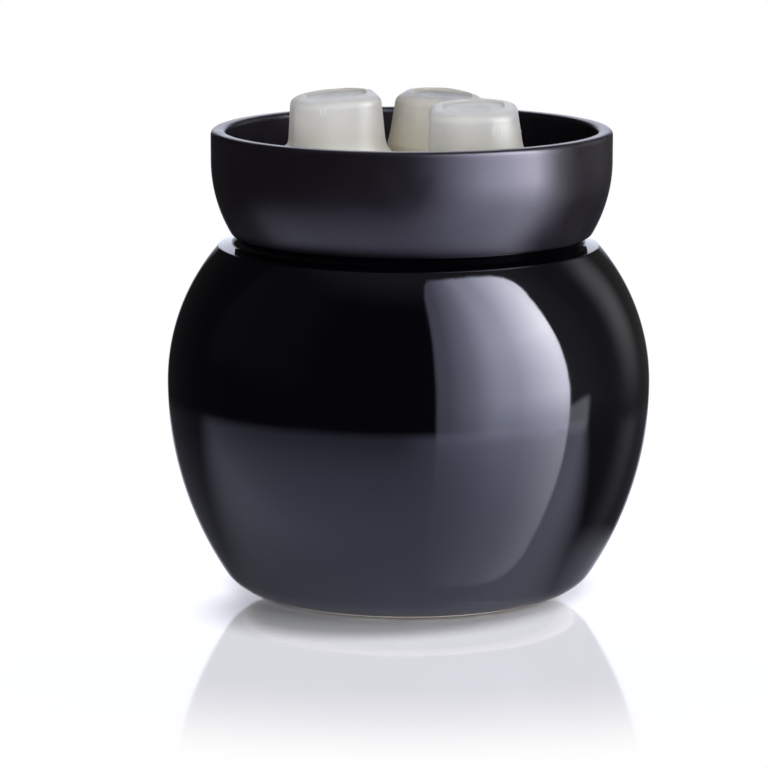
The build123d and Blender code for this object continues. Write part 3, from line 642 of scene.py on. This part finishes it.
def close(tree, shader, kind="ShaderNodeOutputMaterial"):
    """Ends a tree with a shader."""
    output = tree.nodes.new(kind)
    tree.links.new(shader, output.inputs["Surface"])


def maths(tree, operation, *values):
    """The result of a Math node on values or sockets."""
    made = add(tree, "ShaderNodeMath", {"operation": operation})
    for socket, value in zip(made.inputs, values):
        put(tree, socket, value)
    return made.outputs[0]


def product(tree, first, second):
    """Two values multiplied."""
    return maths(tree, "MULTIPLY", first, second)


def larger(tree, first, second):
    """The larger of two values."""
    return maths(tree, "MAXIMUM", first, second)


def mix_values(tree, factor, first, second):
    """A value between two, by a factor."""
    made = add(tree, "ShaderNodeMix", Factor=factor)
    put(tree, made.inputs[2], first)
    put(tree, made.inputs[3], second)
    return made.outputs[0]


def ramp(tree, factor, low, high):
    """A colour between two, by a factor."""
    made = add(tree, "ShaderNodeMix", {"data_type": "RGBA"}, Factor=factor)
    for socket, value in ((made.inputs[6], low), (made.inputs[7], high)):
        put(tree, socket, value if isinstance(value, bpy.types.NodeSocket) else (*value, 1.0))
    return made.outputs[2]


def mix_shaders(tree, factor, first, second):
    """A shader between two, by a factor."""
    made = tree.nodes.new("ShaderNodeMixShader")
    for socket, source in zip(made.inputs, (factor, first, second)):
        tree.links.new(source, socket)
    return made.outputs[0]


def span(tree, value, source, target=(0.0, 1.0), soft=False):
    """A value moved from one range to another, and held at its ends."""
    settings = {"interpolation_type": "SMOOTHSTEP"} if soft else {"clamp": True}
    made = add(tree, "ShaderNodeMapRange", settings, Value=value)
    for key, number in zip(("From Min", "From Max", "To Min", "To Max"), (*source, *target)):
        made.inputs[key].default_value = number
    return made.outputs["Result"]


def own_place(tree):
    """Object coordinates in metres."""
    return add(tree, "ShaderNodeTexCoord").outputs["Object"]


def coordinates(tree, stretch=(1, 1, 1)):
    """Object coordinates in metres, stretched for a grain."""
    return add(tree, "ShaderNodeMapping", Vector=own_place(tree), Scale=stretch).outputs["Vector"]


def parts_of(tree, vector):
    """The X, Y and Z of a vector."""
    return add(tree, "ShaderNodeSeparateXYZ", Vector=vector).outputs


def length_of(tree, vector):
    """The length of a vector."""
    made = add(tree, "ShaderNodeVectorMath", {"operation": "LENGTH"})
    tree.links.new(vector, made.inputs[0])
    return made.outputs["Value"]


def noise_of(tree, vector, scale, detail=3.0):
    """Soft noise about 0.5."""
    made = add(tree, "ShaderNodeTexNoise", Vector=vector, Scale=scale, Detail=detail, Roughness=0.55)
    return made.outputs["Fac"]


def relief(tree, height, depth, strength, **under):
    """Bump from a height between 0 and 1, over another normal if one is given."""
    made = add(tree, "ShaderNodeBump", Height=height, Distance=depth, Strength=strength, **under)
    return made.outputs["Normal"]


# Materials. Pairs of colours and of roughness are the two ends of a mix.

NOISE_RANGE = (0.3, 0.7)
GLAZE_COLOURS = ((0.0006, 0.0005, 0.0012), (0.0016, 0.0013, 0.0026))
GLAZE_ROUGHNESS = (0.030, 0.055)
GLAZE_TINT = (0.79, 0.81, 1.0, 1.0)
CLAY_COLOURS = ((0.84, 0.78, 0.68), (0.94, 0.89, 0.80))
CLAY_ROUGHNESS = 0.85
# The glaze's lower edge wavers by this much, and the glaze fades in over these heights
GLAZE_EDGE_WAVE = 0.3 * MM
GLAZE_EDGE_FADE = (GLAZE_EDGE_Z + 0.13 * MM, GLAZE_EDGE_Z + 0.23 * MM)
DISH_COLOURS = ((0.0036, 0.0023, 0.0036), (0.0070, 0.0047, 0.0066))
DISH_ROUGHNESS = (0.27, 0.33)
DISH_TINT = (0.82, 0.81, 1.0, 1.0)
# The wax at the bottom and the top of a melt, with the bottom painted brighter against the dish's shade, at
# the front and in painted shade at the back, and the painted shade on its level top at the front and the back
WAX_FRONT_BODY = ((0.99, 0.955, 0.85), (0.70, 0.695, 0.685))
WAX_BACK_SHADED_BODY = ((0.84, 0.78, 0.60), (0.61, 0.58, 0.52))
WAX_TOP_SHADE = ((0.74, 0.74, 0.735), (0.32, 0.32, 0.32))
WAX_CLOUD = (0.88, 0.865, 0.85)
WAX_CLOUD_RANGE = (0.35, 0.7)
WAX_CLOUD_SHARE = (0.0, 0.35)
WAX_SCUFF = (0.90, 0.90, 0.89)
WAX_SCUFF_FADE = (0.35, 1.0)
WAX_SCRATCH_RANGE = (0.47, 0.62)
WAX_SCRATCH_STRETCH = (1.0, 1.0, 0.12)
WAX_ROUGHNESS = (0.30, 0.46)
# Shares of a melt's height over which the body's colour and the painted top shade set in, how level a face in
# the painted top shade is, and the depth in the dish over which the front's colours give way to the back's
# painted shade
WAX_BODY_RISE = (0.1, 0.8)
WAX_TOP_SHADE_RISE = (0.8, 0.9)
WAX_LEVEL_FACE = (0.86, 0.98)
WAX_BACK_SHADE_Y = (-0.010, 0.010)


def black_glaze():
    """Deep black gloss glaze over pale clay, which shows only below the glaze's edge at the foot."""
    made, tree = new_material("black_glaze_surface")
    place = coordinates(tree)
    cloud = noise_of(tree, place, scale=45.0)
    glaze = ramp(tree, cloud, *GLAZE_COLOURS)
    clay = ramp(tree, noise_of(tree, place, scale=900.0), *CLAY_COLOURS)
    height = parts_of(tree, own_place(tree))["Z"]
    edge = maths(tree, "MULTIPLY_ADD", noise_of(tree, place, scale=160.0), GLAZE_EDGE_WAVE, height)
    glazed = span(tree, edge, GLAZE_EDGE_FADE)
    rough = mix_values(tree, glazed, CLAY_ROUGHNESS, span(tree, cloud, NOISE_RANGE, GLAZE_ROUGHNESS))
    normal = relief(tree, noise_of(tree, place, scale=220.0, detail=2.0), depth=0.012 * MM, strength=0.5)
    shader = add(tree, "ShaderNodeBsdfPrincipled", Base_Color=ramp(tree, glazed, clay, glaze),
                 Roughness=rough, Normal=normal, IOR=1.55, Specular_Tint=GLAZE_TINT)
    close(tree, shader.outputs[0])
    return made


def dish_glaze():
    """Satin brown-black glaze with a fine grain."""
    made, tree = new_material("dish_glaze_surface")
    place = coordinates(tree)
    colour = ramp(tree, noise_of(tree, place, scale=60.0), *DISH_COLOURS)
    rough = span(tree, noise_of(tree, place, scale=150.0), NOISE_RANGE, DISH_ROUGHNESS)
    normal = relief(tree, noise_of(tree, place, scale=2600.0), depth=0.006 * MM, strength=0.2)
    shader = add(tree, "ShaderNodeBsdfPrincipled", Base_Color=colour, Roughness=rough, Normal=normal,
                 IOR=1.66, Specular_Tint=DISH_TINT)
    close(tree, shader.outputs[0])
    return made


def scuffed(tree):
    """How scuffed the wax is, from 0 to 1: fine upright scratches inside each scuff."""
    source = own_place(tree)
    spread = None
    for middle, half in WAX_SCUFFS:
        scale = Vector((1 / half.x, 1 / half.y, 1 / half.z))
        offset = Vector((-middle.x * scale.x, -middle.y * scale.y, -middle.z * scale.z))
        moved = add(tree, "ShaderNodeMapping", Vector=source, Scale=scale, Location=offset).outputs["Vector"]
        inside = span(tree, length_of(tree, moved), WAX_SCUFF_FADE, (1.0, 0.0), soft=True)
        spread = larger(tree, spread, inside) if spread else inside
    scratches = noise_of(tree, coordinates(tree, WAX_SCRATCH_STRETCH), scale=1500.0, detail=2.0)
    return product(tree, spread, span(tree, scratches, WAX_SCRATCH_RANGE))


def wax():
    """Milky wax: light goes into it, the top is greyer, the base is warmer and painted brighter against the
    dish's shade, the back melt and the level tops are in painted shade, and scuffs show paler.
    """
    made, tree = new_material("wax_surface")
    place = coordinates(tree)
    rise = parts_of(tree, add(tree, "ShaderNodeTexCoord").outputs["Generated"])["Z"]
    # Painted light: each melt is painted brighter towards its base, where the dish shades it; the base's
    # warmth is the wax's own tone
    level = span(tree, rise, WAX_BODY_RISE)
    # Painted shade: the melt at the back of the dish is painted darker, where the front melts shade it
    back = span(tree, parts_of(tree, place)["Y"], WAX_BACK_SHADE_Y)
    body = ramp(tree, back, ramp(tree, level, *WAX_FRONT_BODY), ramp(tree, level, *WAX_BACK_SHADED_BODY))
    facing = parts_of(tree, add(tree, "ShaderNodeNewGeometry").outputs["Normal"])["Z"]
    # Painted shade: the level faces at the top are painted greyer, and much darker at the back
    shaded_top = product(tree, span(tree, facing, WAX_LEVEL_FACE), span(tree, rise, WAX_TOP_SHADE_RISE))
    body = ramp(tree, shaded_top, body, ramp(tree, back, *WAX_TOP_SHADE))
    cloud = span(tree, noise_of(tree, place, scale=160.0, detail=4.0), WAX_CLOUD_RANGE, WAX_CLOUD_SHARE)
    scuff = scuffed(tree)
    colour = ramp(tree, scuff, ramp(tree, cloud, body, WAX_CLOUD), WAX_SCUFF)
    rough = span(tree, noise_of(tree, place, scale=420.0), NOISE_RANGE, WAX_ROUGHNESS)
    grain = relief(tree, noise_of(tree, place, scale=700.0, detail=5.0), depth=0.05 * MM, strength=0.45)
    normal = relief(tree, scuff, depth=0.05 * MM, strength=0.6, Normal=grain)
    shader = add(tree, "ShaderNodeBsdfPrincipled", Base_Color=colour, Roughness=rough, Normal=normal,
                 IOR=1.44, Subsurface_Weight=0.85, Subsurface_Radius=(1.0, 0.9, 0.7),
                 Subsurface_Scale=2.8 * MM)
    close(tree, shader.outputs[0])
    return made


def plain_finish(name, low, high, rough, scale, stretch=(1, 1, 1), metallic=0.0, grain=900.0, depth=0.02):
    """A material whose colour, roughness and relief all vary. Depth is in millimetres."""
    made, tree = new_material(name)
    place = coordinates(tree, stretch)
    cloud = noise_of(tree, place, scale, detail=4.0)
    colour = ramp(tree, span(tree, cloud, NOISE_RANGE), low, high)
    fine = noise_of(tree, place, grain, detail=4.0)
    roughness = span(tree, fine, NOISE_RANGE, rough)
    normal = relief(tree, fine, depth * MM, strength=0.5)
    shader = add(tree, "ShaderNodeBsdfPrincipled", Base_Color=colour, Roughness=roughness, Normal=normal,
                 Metallic=metallic, IOR=1.5)
    close(tree, shader.outputs[0])
    return made


# One row for each record slot of the hidden parts
HIDDEN_FINISHES = {
    "plate_aluminium": dict(low=(0.58, 0.59, 0.60), high=(0.70, 0.70, 0.71), rough=(0.32, 0.48), scale=70.0,
                            metallic=1.0, grain=700.0, stretch=(1, 1, 4)),
    "carrier_resin": dict(low=(0.020, 0.020, 0.021), high=(0.036, 0.036, 0.036), rough=(0.45, 0.65),
                          scale=90.0),
    "silicone": dict(low=(0.40, 0.13, 0.09), high=(0.50, 0.19, 0.14), rough=(0.6, 0.8), scale=120.0),
    "mica": dict(low=(0.52, 0.45, 0.31), high=(0.70, 0.63, 0.47), rough=(0.25, 0.45), scale=220.0,
                 depth=0.03),
    "foil_metal": dict(low=(0.50, 0.48, 0.45), high=(0.62, 0.60, 0.57), rough=(0.25, 0.40), scale=150.0,
                       metallic=1.0, stretch=(1, 8, 1)),
    "zinc_steel": dict(low=(0.56, 0.57, 0.56), high=(0.70, 0.69, 0.66), rough=(0.28, 0.45), scale=140.0,
                       metallic=1.0, stretch=(1, 1, 3)),
    "fibre": dict(low=(0.78, 0.77, 0.73), high=(0.90, 0.89, 0.86), rough=(0.85, 0.98), scale=300.0,
                  grain=1400.0, depth=0.15, stretch=(1, 3, 1)),
    "brass": dict(low=(0.66, 0.50, 0.23), high=(0.80, 0.63, 0.33), rough=(0.24, 0.42), scale=160.0,
                  metallic=1.0),
    "steatite": dict(low=(0.78, 0.76, 0.70), high=(0.88, 0.86, 0.82), rough=(0.5, 0.7), scale=200.0),
    "fuse_case": dict(low=(0.60, 0.59, 0.56), high=(0.72, 0.71, 0.68), rough=(0.25, 0.40), scale=180.0,
                      metallic=1.0, stretch=(6, 1, 1)),
    "lead_brown": dict(low=(0.16, 0.075, 0.042), high=(0.24, 0.12, 0.075), rough=(0.45, 0.62), scale=200.0),
    "lead_blue": dict(low=(0.06, 0.115, 0.28), high=(0.10, 0.17, 0.37), rough=(0.45, 0.62), scale=200.0),
    "block_resin": dict(low=(0.76, 0.75, 0.70), high=(0.86, 0.85, 0.81), rough=(0.42, 0.6), scale=120.0),
    "base_resin": dict(low=(0.018, 0.018, 0.020), high=(0.032, 0.032, 0.034), rough=(0.5, 0.72), scale=80.0,
                       grain=1500.0, depth=0.04),
    "black_rubber": dict(low=(0.014, 0.014, 0.014), high=(0.028, 0.028, 0.027), rough=(0.7, 0.88),
                         scale=150.0, grain=1800.0, depth=0.03),
}


def dress_hidden_parts():
    """Gives each CAD node that stays the material of its record slot."""
    finishes = {slot: plain_finish(f"{slot}_surface", **row) for slot, row in HIDDEN_FINISHES.items()}
    for subpart in frame["record"]["subparts"]:
        if subpart["material_slot"] in finishes:
            frame["nodes"][subpart["node"]].material_slots[0].material = finishes[subpart["material_slot"]]


# Studio. Pairs are the two ends of a soft edge.

WHITE = (1.0, 1.0, 1.0, 1.0)
BLACK = (0.0, 0.0, 0.0)
WORLD_TINT = (0.96, 0.98, 1.0, 1.0)
WORLD_LEVEL = 0.36
LAMPS = {
    "key_lamp": dict(place=(1.00, -0.68, 0.80), size=1.2, power=6.8),
    "front_lamp": dict(place=(-0.50, -1.20, 0.32), size=0.8, power=5.8),
}

# Floor. By distance from the axis, the pot's shade gives way to an even level for the eye, the even level
# gives way to white, and the floor ends for mirrors. The shade reaches further out in an oval at the front.
FLOOR_RADIUS = 4.0
FLOOR_COLOUR = (0.62, 0.62, 0.65)
FLOOR_TINT = (0.93, 0.93, 1.0)
FLOOR_LEVEL = 0.74
FLOOR_EVEN = (0.040, 0.053)
FLOOR_WHITE = (0.11, 0.19)
FLOOR_END = (0.226, 0.304)
FLOOR_OVAL_EVEN = (0.0362, 0.0568)
FLOOR_OVAL = (1.0, 0.77, 1.0)
FLOOR_OVAL_PLACE = (-0.0055, -0.0245, 0.0)
FLOOR_OVAL_TURN = 25.0
# The mirror that lies this deep in the floor's clear sheet, and the share of it that the eye sees
FLOOR_MIRROR_DEPTH = 4.0 * MM
FLOOR_MIRROR_IOR = 1.7
FLOOR_MIRROR_ROUGHNESS = 0.07
FLOOR_MIRROR_FOR_EYE = 0.75
# The floor as mirrors see it: dimmer outwards at the left and brighter at the right, in shade behind a
# slanting line at the left and a straight one at the right, with a faint glow by the foot
MIRROR_TINT = (0.87, 0.90, 1.05)
MIRROR_EVEN = (0.043, 0.050)
MIRROR_DIM = (0.09, 0.22)
MIRROR_DIM_LEVEL = 0.46
MIRROR_DIM_X = (-0.02, 0.06)
MIRROR_GAIN = 1.45
MIRROR_GAIN_X = (0.0, 0.10)
MIRROR_SLOPE = 0.44
MIRROR_LEFT = (-0.090, -0.028)
MIRROR_LEFT_SHADE = 0.10
MIRROR_RIGHT = (-0.050, -0.018)
MIRROR_RIGHT_SHADE = 0.03
MIRROR_RIGHT_X = (-0.045, -0.005)
MIRROR_FOOT = (0.058, 0.088)
MIRROR_FOOT_GLOW = 0.27

# Tent round the pot, which only mirrors see. Azimuth is 0 towards the camera and grows to the right.
# Azimuth and elevation are in degrees.
TENT_RADIUS = 2.0
TENT_LOWEST = -40
TENT_DARK = 0.018
TENT_RIGHT = [(60, 0.018), (80, 0.25), (90, 0.21), (105, 0.11), (150, 0.06)]
TENT_RIGHT_RISE = (-24, -4)
TENT_LEFT = 0.045
TENT_LEFT_START = (-118, -104)
TENT_LEFT_END = (-60, -40)
TENT_LEFT_RISE = (0, 12)
TENT_TOP = 0.17
TENT_TOP_RISE = (48, 70)
TENT_SIDE = 0.54
TENT_SIDE_START = (113, 129)
TENT_SIDE_END = (130, 146)
TENT_SIDE_RISE = (-16, 14)
TENT_SIDE_FALL = (24, 40)
# The backdrop. It grows wider by these degrees over the elevations of its widening.
TENT_BACK = 1.5
TENT_BACK_TINT = Vector((0.90, 0.93, 1.06))
TENT_BACK_START = (164, 176)
TENT_BACK_WIDER = (5, 7)
TENT_BACK_WIDENING = (-2, 7)
TENT_BACK_RISE = (-18, -11)
TENT_BACK_FALL = (45, 60)
# The soft box: its edges, its level from left to right, and how much of it is left at each elevation
BOX_LEFT = [(-40, 13), (36, 12.7), (57, 12), (64, 14.4), (67, 18)]
BOX_LEFT_SOFT = 0.8
BOX_RIGHT = [(-40, 81), (28, 80.3), (41, 81.2), (46, 82.8), (50, 82.6), (54, 80.6), (58, 75)]
BOX_RIGHT_SOFT = 0.6
BOX_TOP = [(10, 66.8), (22, 67.0), (42, 65.5), (60, 62.5), (74, 58.0), (80, 54.4), (84, 50)]
BOX_TOP_SOFT = 0.8
BOX_LEVEL = [(10, 1.3), (19, 1.65), (31, 3.6), (42, 6.8), (53, 8.4), (64, 12.4), (76, 17.0), (92, 17.5)]
BOX_DROP = [(-35, 0.18), (-29, 0.19), (-23, 0.26), (-17, 0.37), (-11, 0.53), (0, 0.77), (12, 0.86), (28, 1.0),
            (36, 0.95), (43, 0.88), (50, 0.80), (57, 0.70), (64, 0.60)]
BOX_DROP_AZIMUTH = 57.0
BOX_DROP_LEAST = 0.2
BOX_DIM_TINT = Vector((0.84, 0.87, 1.0))
BOX_BRIGHT_TINT = Vector((1.10, 1.07, 1.0))
BOX_BRIGHT = 17.0
# A dim strip beside the box, below a slanting edge
STRIP_LEVEL = 1.7
STRIP_START = (78, 82)
STRIP_END = (91, 95)
STRIP_EDGE = [(82, -7), (90, -5)]
STRIP_EDGE_SOFT = 1.5


def tent_glow(azimuth, elevation):
    """The colour that a mirror sees of the tent in one direction."""
    glow = TENT_DARK + (between(TENT_RIGHT, azimuth) - TENT_DARK) * smooth(*TENT_RIGHT_RISE, elevation)
    left = band(azimuth, TENT_LEFT_START, TENT_LEFT_END) * smooth(*TENT_LEFT_RISE, elevation)
    glow += (TENT_LEFT - glow) * left
    glow += (TENT_TOP - glow) * smooth(*TENT_TOP_RISE, elevation)
    side = band(azimuth, TENT_SIDE_START, TENT_SIDE_END) * band(elevation, TENT_SIDE_RISE, TENT_SIDE_FALL)
    glow += (TENT_SIDE - glow) * side
    strip = band(azimuth, STRIP_START, STRIP_END)
    strip *= smooth(STRIP_EDGE_SOFT, -STRIP_EDGE_SOFT, elevation - between(STRIP_EDGE, azimuth))
    glow += (STRIP_LEVEL - glow) * strip
    cloth = Vector((glow, glow, glow))
    widening = smooth(*TENT_BACK_WIDENING, elevation)
    back_start = [edge - more * widening for edge, more in zip(TENT_BACK_START, TENT_BACK_WIDER)]
    back = smooth(*back_start, abs(azimuth)) * band(elevation, TENT_BACK_RISE, TENT_BACK_FALL)
    cloth = cloth.lerp(TENT_BACK_TINT * TENT_BACK, back)
    box = smooth(-BOX_LEFT_SOFT, BOX_LEFT_SOFT, azimuth - between(BOX_LEFT, elevation))
    box *= smooth(-BOX_RIGHT_SOFT, BOX_RIGHT_SOFT, between(BOX_RIGHT, elevation) - azimuth)
    box *= smooth(-BOX_TOP_SOFT, BOX_TOP_SOFT, between(BOX_TOP, azimuth) - elevation)
    drop = between(BOX_DROP, elevation) ** max(azimuth / BOX_DROP_AZIMUTH, BOX_DROP_LEAST)
    level = between(BOX_LEVEL, azimuth) * drop
    tint = BOX_DIM_TINT.lerp(BOX_BRIGHT_TINT, min(level / BOX_BRIGHT, 1.0))
    return cloth.lerp(tint * level, box)


def make_tent():
    """A dome round the pot, with a point at each degree, that only mirrors see."""
    rings = []
    glow = []
    for elevation in range(TENT_LOWEST, 91):
        ring = []
        for azimuth in range(-180, 180):
            a, e = math.radians(azimuth), math.radians(elevation)
            place = Vector((math.sin(a) * math.cos(e), -math.cos(a) * math.cos(e), math.sin(e))) * TENT_RADIUS
            ring.append(place + Vector((0, 0, BELLY_Z)))
            glow += [*tent_glow(azimuth, elevation), 1.0]
        rings.append(ring)
    mesh = skin_rings("studio_tent", rings)
    mesh.attributes.new("glow", "FLOAT_COLOR", "POINT").data.foreach_set("color", glow)
    tent = add_object("studio_tent", mesh)
    tent.visible_camera = False
    tent.visible_diffuse = False
    tent.visible_transmission = False
    tent.visible_shadow = False
    made, tree = new_material("tent_cloth")
    colour = add(tree, "ShaderNodeAttribute", {"attribute_name": "glow"}).outputs["Color"]
    close(tree, add(tree, "ShaderNodeEmission", Color=colour, Strength=1.0).outputs[0])
    mesh.materials.append(made)


def mirrored_level(tree, place, distance):
    """How bright mirrors see the floor at a place."""
    across = parts_of(tree, place)
    x, y = across["X"], across["Y"]
    slant = maths(tree, "MULTIPLY_ADD", x, MIRROR_SLOPE, y)
    left = span(tree, slant, MIRROR_LEFT, (1.0, MIRROR_LEFT_SHADE), soft=True)
    right = span(tree, y, MIRROR_RIGHT, (1.0, MIRROR_RIGHT_SHADE), soft=True)
    right = larger(tree, right, span(tree, distance, MIRROR_FOOT, (MIRROR_FOOT_GLOW, 0.0), soft=True))
    shade = mix_values(tree, span(tree, x, MIRROR_RIGHT_X), left, right)
    dim = span(tree, distance, MIRROR_DIM, (1.0, MIRROR_DIM_LEVEL))
    dim = mix_values(tree, span(tree, x, MIRROR_DIM_X), dim, 1.0)
    gain = span(tree, x, MIRROR_GAIN_X, (1.0, MIRROR_GAIN))
    return product(tree, product(tree, shade, dim), gain)


def disc(name, radius):
    """A level round sheet."""
    build = bmesh.new()
    bmesh.ops.create_circle(build, cap_ends=True, segments=DISC_SEGMENTS, radius=radius)
    return finished_mesh(name, build)


def make_floor():
    """White sheet. The eye sees it fade to plain white, and mirrors see it end not far out."""
    mesh = disc("studio_floor", FLOOR_RADIUS)
    floor = add_object("studio_floor", mesh)
    made, tree = new_material("white_sheet")
    place = own_place(tree)
    distance = length_of(tree, place)
    light = add(tree, "ShaderNodeLightPath").outputs
    eye, mirror = light["Is Camera Ray"], light["Is Glossy Ray"]
    oval = add(tree, "ShaderNodeMapping", {"vector_type": "TEXTURE"}, Vector=place, Scale=FLOOR_OVAL,
               Location=FLOOR_OVAL_PLACE, Rotation=(0.0, 0.0, math.radians(FLOOR_OVAL_TURN)))
    oval_distance = length_of(tree, oval.outputs["Vector"])
    even_eye = product(tree, span(tree, distance, FLOOR_EVEN, soft=True),
                       span(tree, oval_distance, FLOOR_OVAL_EVEN, soft=True))
    even = mix_values(tree, mirror, even_eye, span(tree, distance, MIRROR_EVEN, soft=True))
    far = product(tree, span(tree, distance, FLOOR_WHITE, soft=True), eye)
    ended = span(tree, distance, FLOOR_END, soft=True)
    level = mix_values(tree, mirror, FLOOR_LEVEL, mirrored_level(tree, place, distance))
    sheet = add(tree, "ShaderNodeBsdfPrincipled", Base_Color=ramp(tree, even, FLOOR_COLOUR, BLACK),
                Roughness=1.0, Specular_IOR_Level=0.0,
                Emission_Color=ramp(tree, mirror, FLOOR_TINT, MIRROR_TINT),
                Emission_Strength=product(tree, even, level))
    white = add(tree, "ShaderNodeEmission", Strength=1.0)
    gone = add(tree, "ShaderNodeBsdfTransparent")
    clear = tree.nodes.new("ShaderNodeAddShader")
    tree.links.new(sheet.outputs[0], clear.inputs[0])
    tree.links.new(gone.outputs[0], clear.inputs[1])
    seen = mix_shaders(tree, far, clear.outputs[0], white.outputs[0])
    below = add(tree, "ShaderNodeNewGeometry").outputs["Backfacing"]
    hidden = larger(tree, product(tree, ended, mirror), below)
    close(tree, mix_shaders(tree, hidden, seen, gone.outputs[0]))
    mesh.materials.append(made)


def make_floor_mirror():
    """The mirror in the sheet, for the soft image of the pot. It ends where mirrors see the sheet end."""
    mesh = disc("studio_floor_mirror", FLOOR_END[1])
    floor_mirror = add_object("studio_floor_mirror", mesh)
    floor_mirror.location.z = -FLOOR_MIRROR_DEPTH
    made, tree = new_material("floor_mirror")
    eye = add(tree, "ShaderNodeLightPath").outputs["Is Camera Ray"]
    share = add(tree, "ShaderNodeFresnel", IOR=FLOOR_MIRROR_IOR).outputs[0]
    share = product(tree, share, span(tree, eye, (0.0, 1.0), (1.0, FLOOR_MIRROR_FOR_EYE)))
    image = add(tree, "ShaderNodeBsdfAnisotropic", Color=share, Roughness=FLOOR_MIRROR_ROUGHNESS)
    gone = add(tree, "ShaderNodeBsdfTransparent")
    ended = span(tree, length_of(tree, own_place(tree)), FLOOR_END, soft=True)
    close(tree, mix_shaders(tree, ended, image.outputs[0], gone.outputs[0]))
    mesh.materials.append(made)


def make_world():
    """White for the eye and for mirrors, and a plain soft level for the light on the object."""
    world = bpy.data.worlds.new("studio_world")
    bpy.context.scene.world = world
    world.use_nodes = True
    tree = world.node_tree
    tree.nodes.clear()
    light = add(tree, "ShaderNodeLightPath").outputs
    seen = larger(tree, light["Is Camera Ray"], light["Is Glossy Ray"])
    seen = larger(tree, seen, light["Is Transmission Ray"])
    soft = add(tree, "ShaderNodeBackground", Color=WORLD_TINT, Strength=WORLD_LEVEL)
    white = add(tree, "ShaderNodeBackground", Color=WHITE, Strength=1.0)
    close(tree, mix_shaders(tree, seen, soft.outputs[0], white.outputs[0]), "ShaderNodeOutputWorld")


def make_lamp(name, place, size, power):
    """A soft lamp aimed at the pot's neck. Mirrors see the tent instead of it."""
    data = bpy.data.lights.new(name, "AREA")
    data.shape = "DISK"
    data.size = size
    data.energy = power
    lamp = bpy.data.objects.new(name, data)
    bpy.context.scene.collection.objects.link(lamp)
    lamp.location = place
    aim = Vector((0, 0, NECK_TOP)) - Vector(place)
    lamp.rotation_euler = aim.to_track_quat("-Z", "Y").to_euler()
    lamp.visible_glossy = False


def make_camera():
    """The camera at the photograph's place."""
    data = bpy.data.cameras.new("photo_camera")
    data.lens = CAMERA_LENS
    data.sensor_width = CAMERA_SENSOR
    camera = bpy.data.objects.new("photo_camera", data)
    bpy.context.scene.collection.objects.link(camera)
    camera.location = CAMERA_PLACE
    camera.rotation_euler = (math.radians(90 - CAMERA_TILT), 0, math.radians(CAMERA_TURN))
    bpy.context.scene.camera = camera


pot = make_pot()
pot.data.materials.append(black_glaze())
dish = make_dish()
dish.data.materials.append(dish_glaze())
wax_material = wax()
for melt in make_melts():
    melt.data.materials.append(wax_material)
dress_hidden_parts()

make_tent()
make_floor()
make_floor_mirror()
make_world()
for lamp_name, lamp_row in LAMPS.items():
    make_lamp(lamp_name, **lamp_row)
make_camera()
bpy.context.scene.view_settings.view_transform = "Standard"
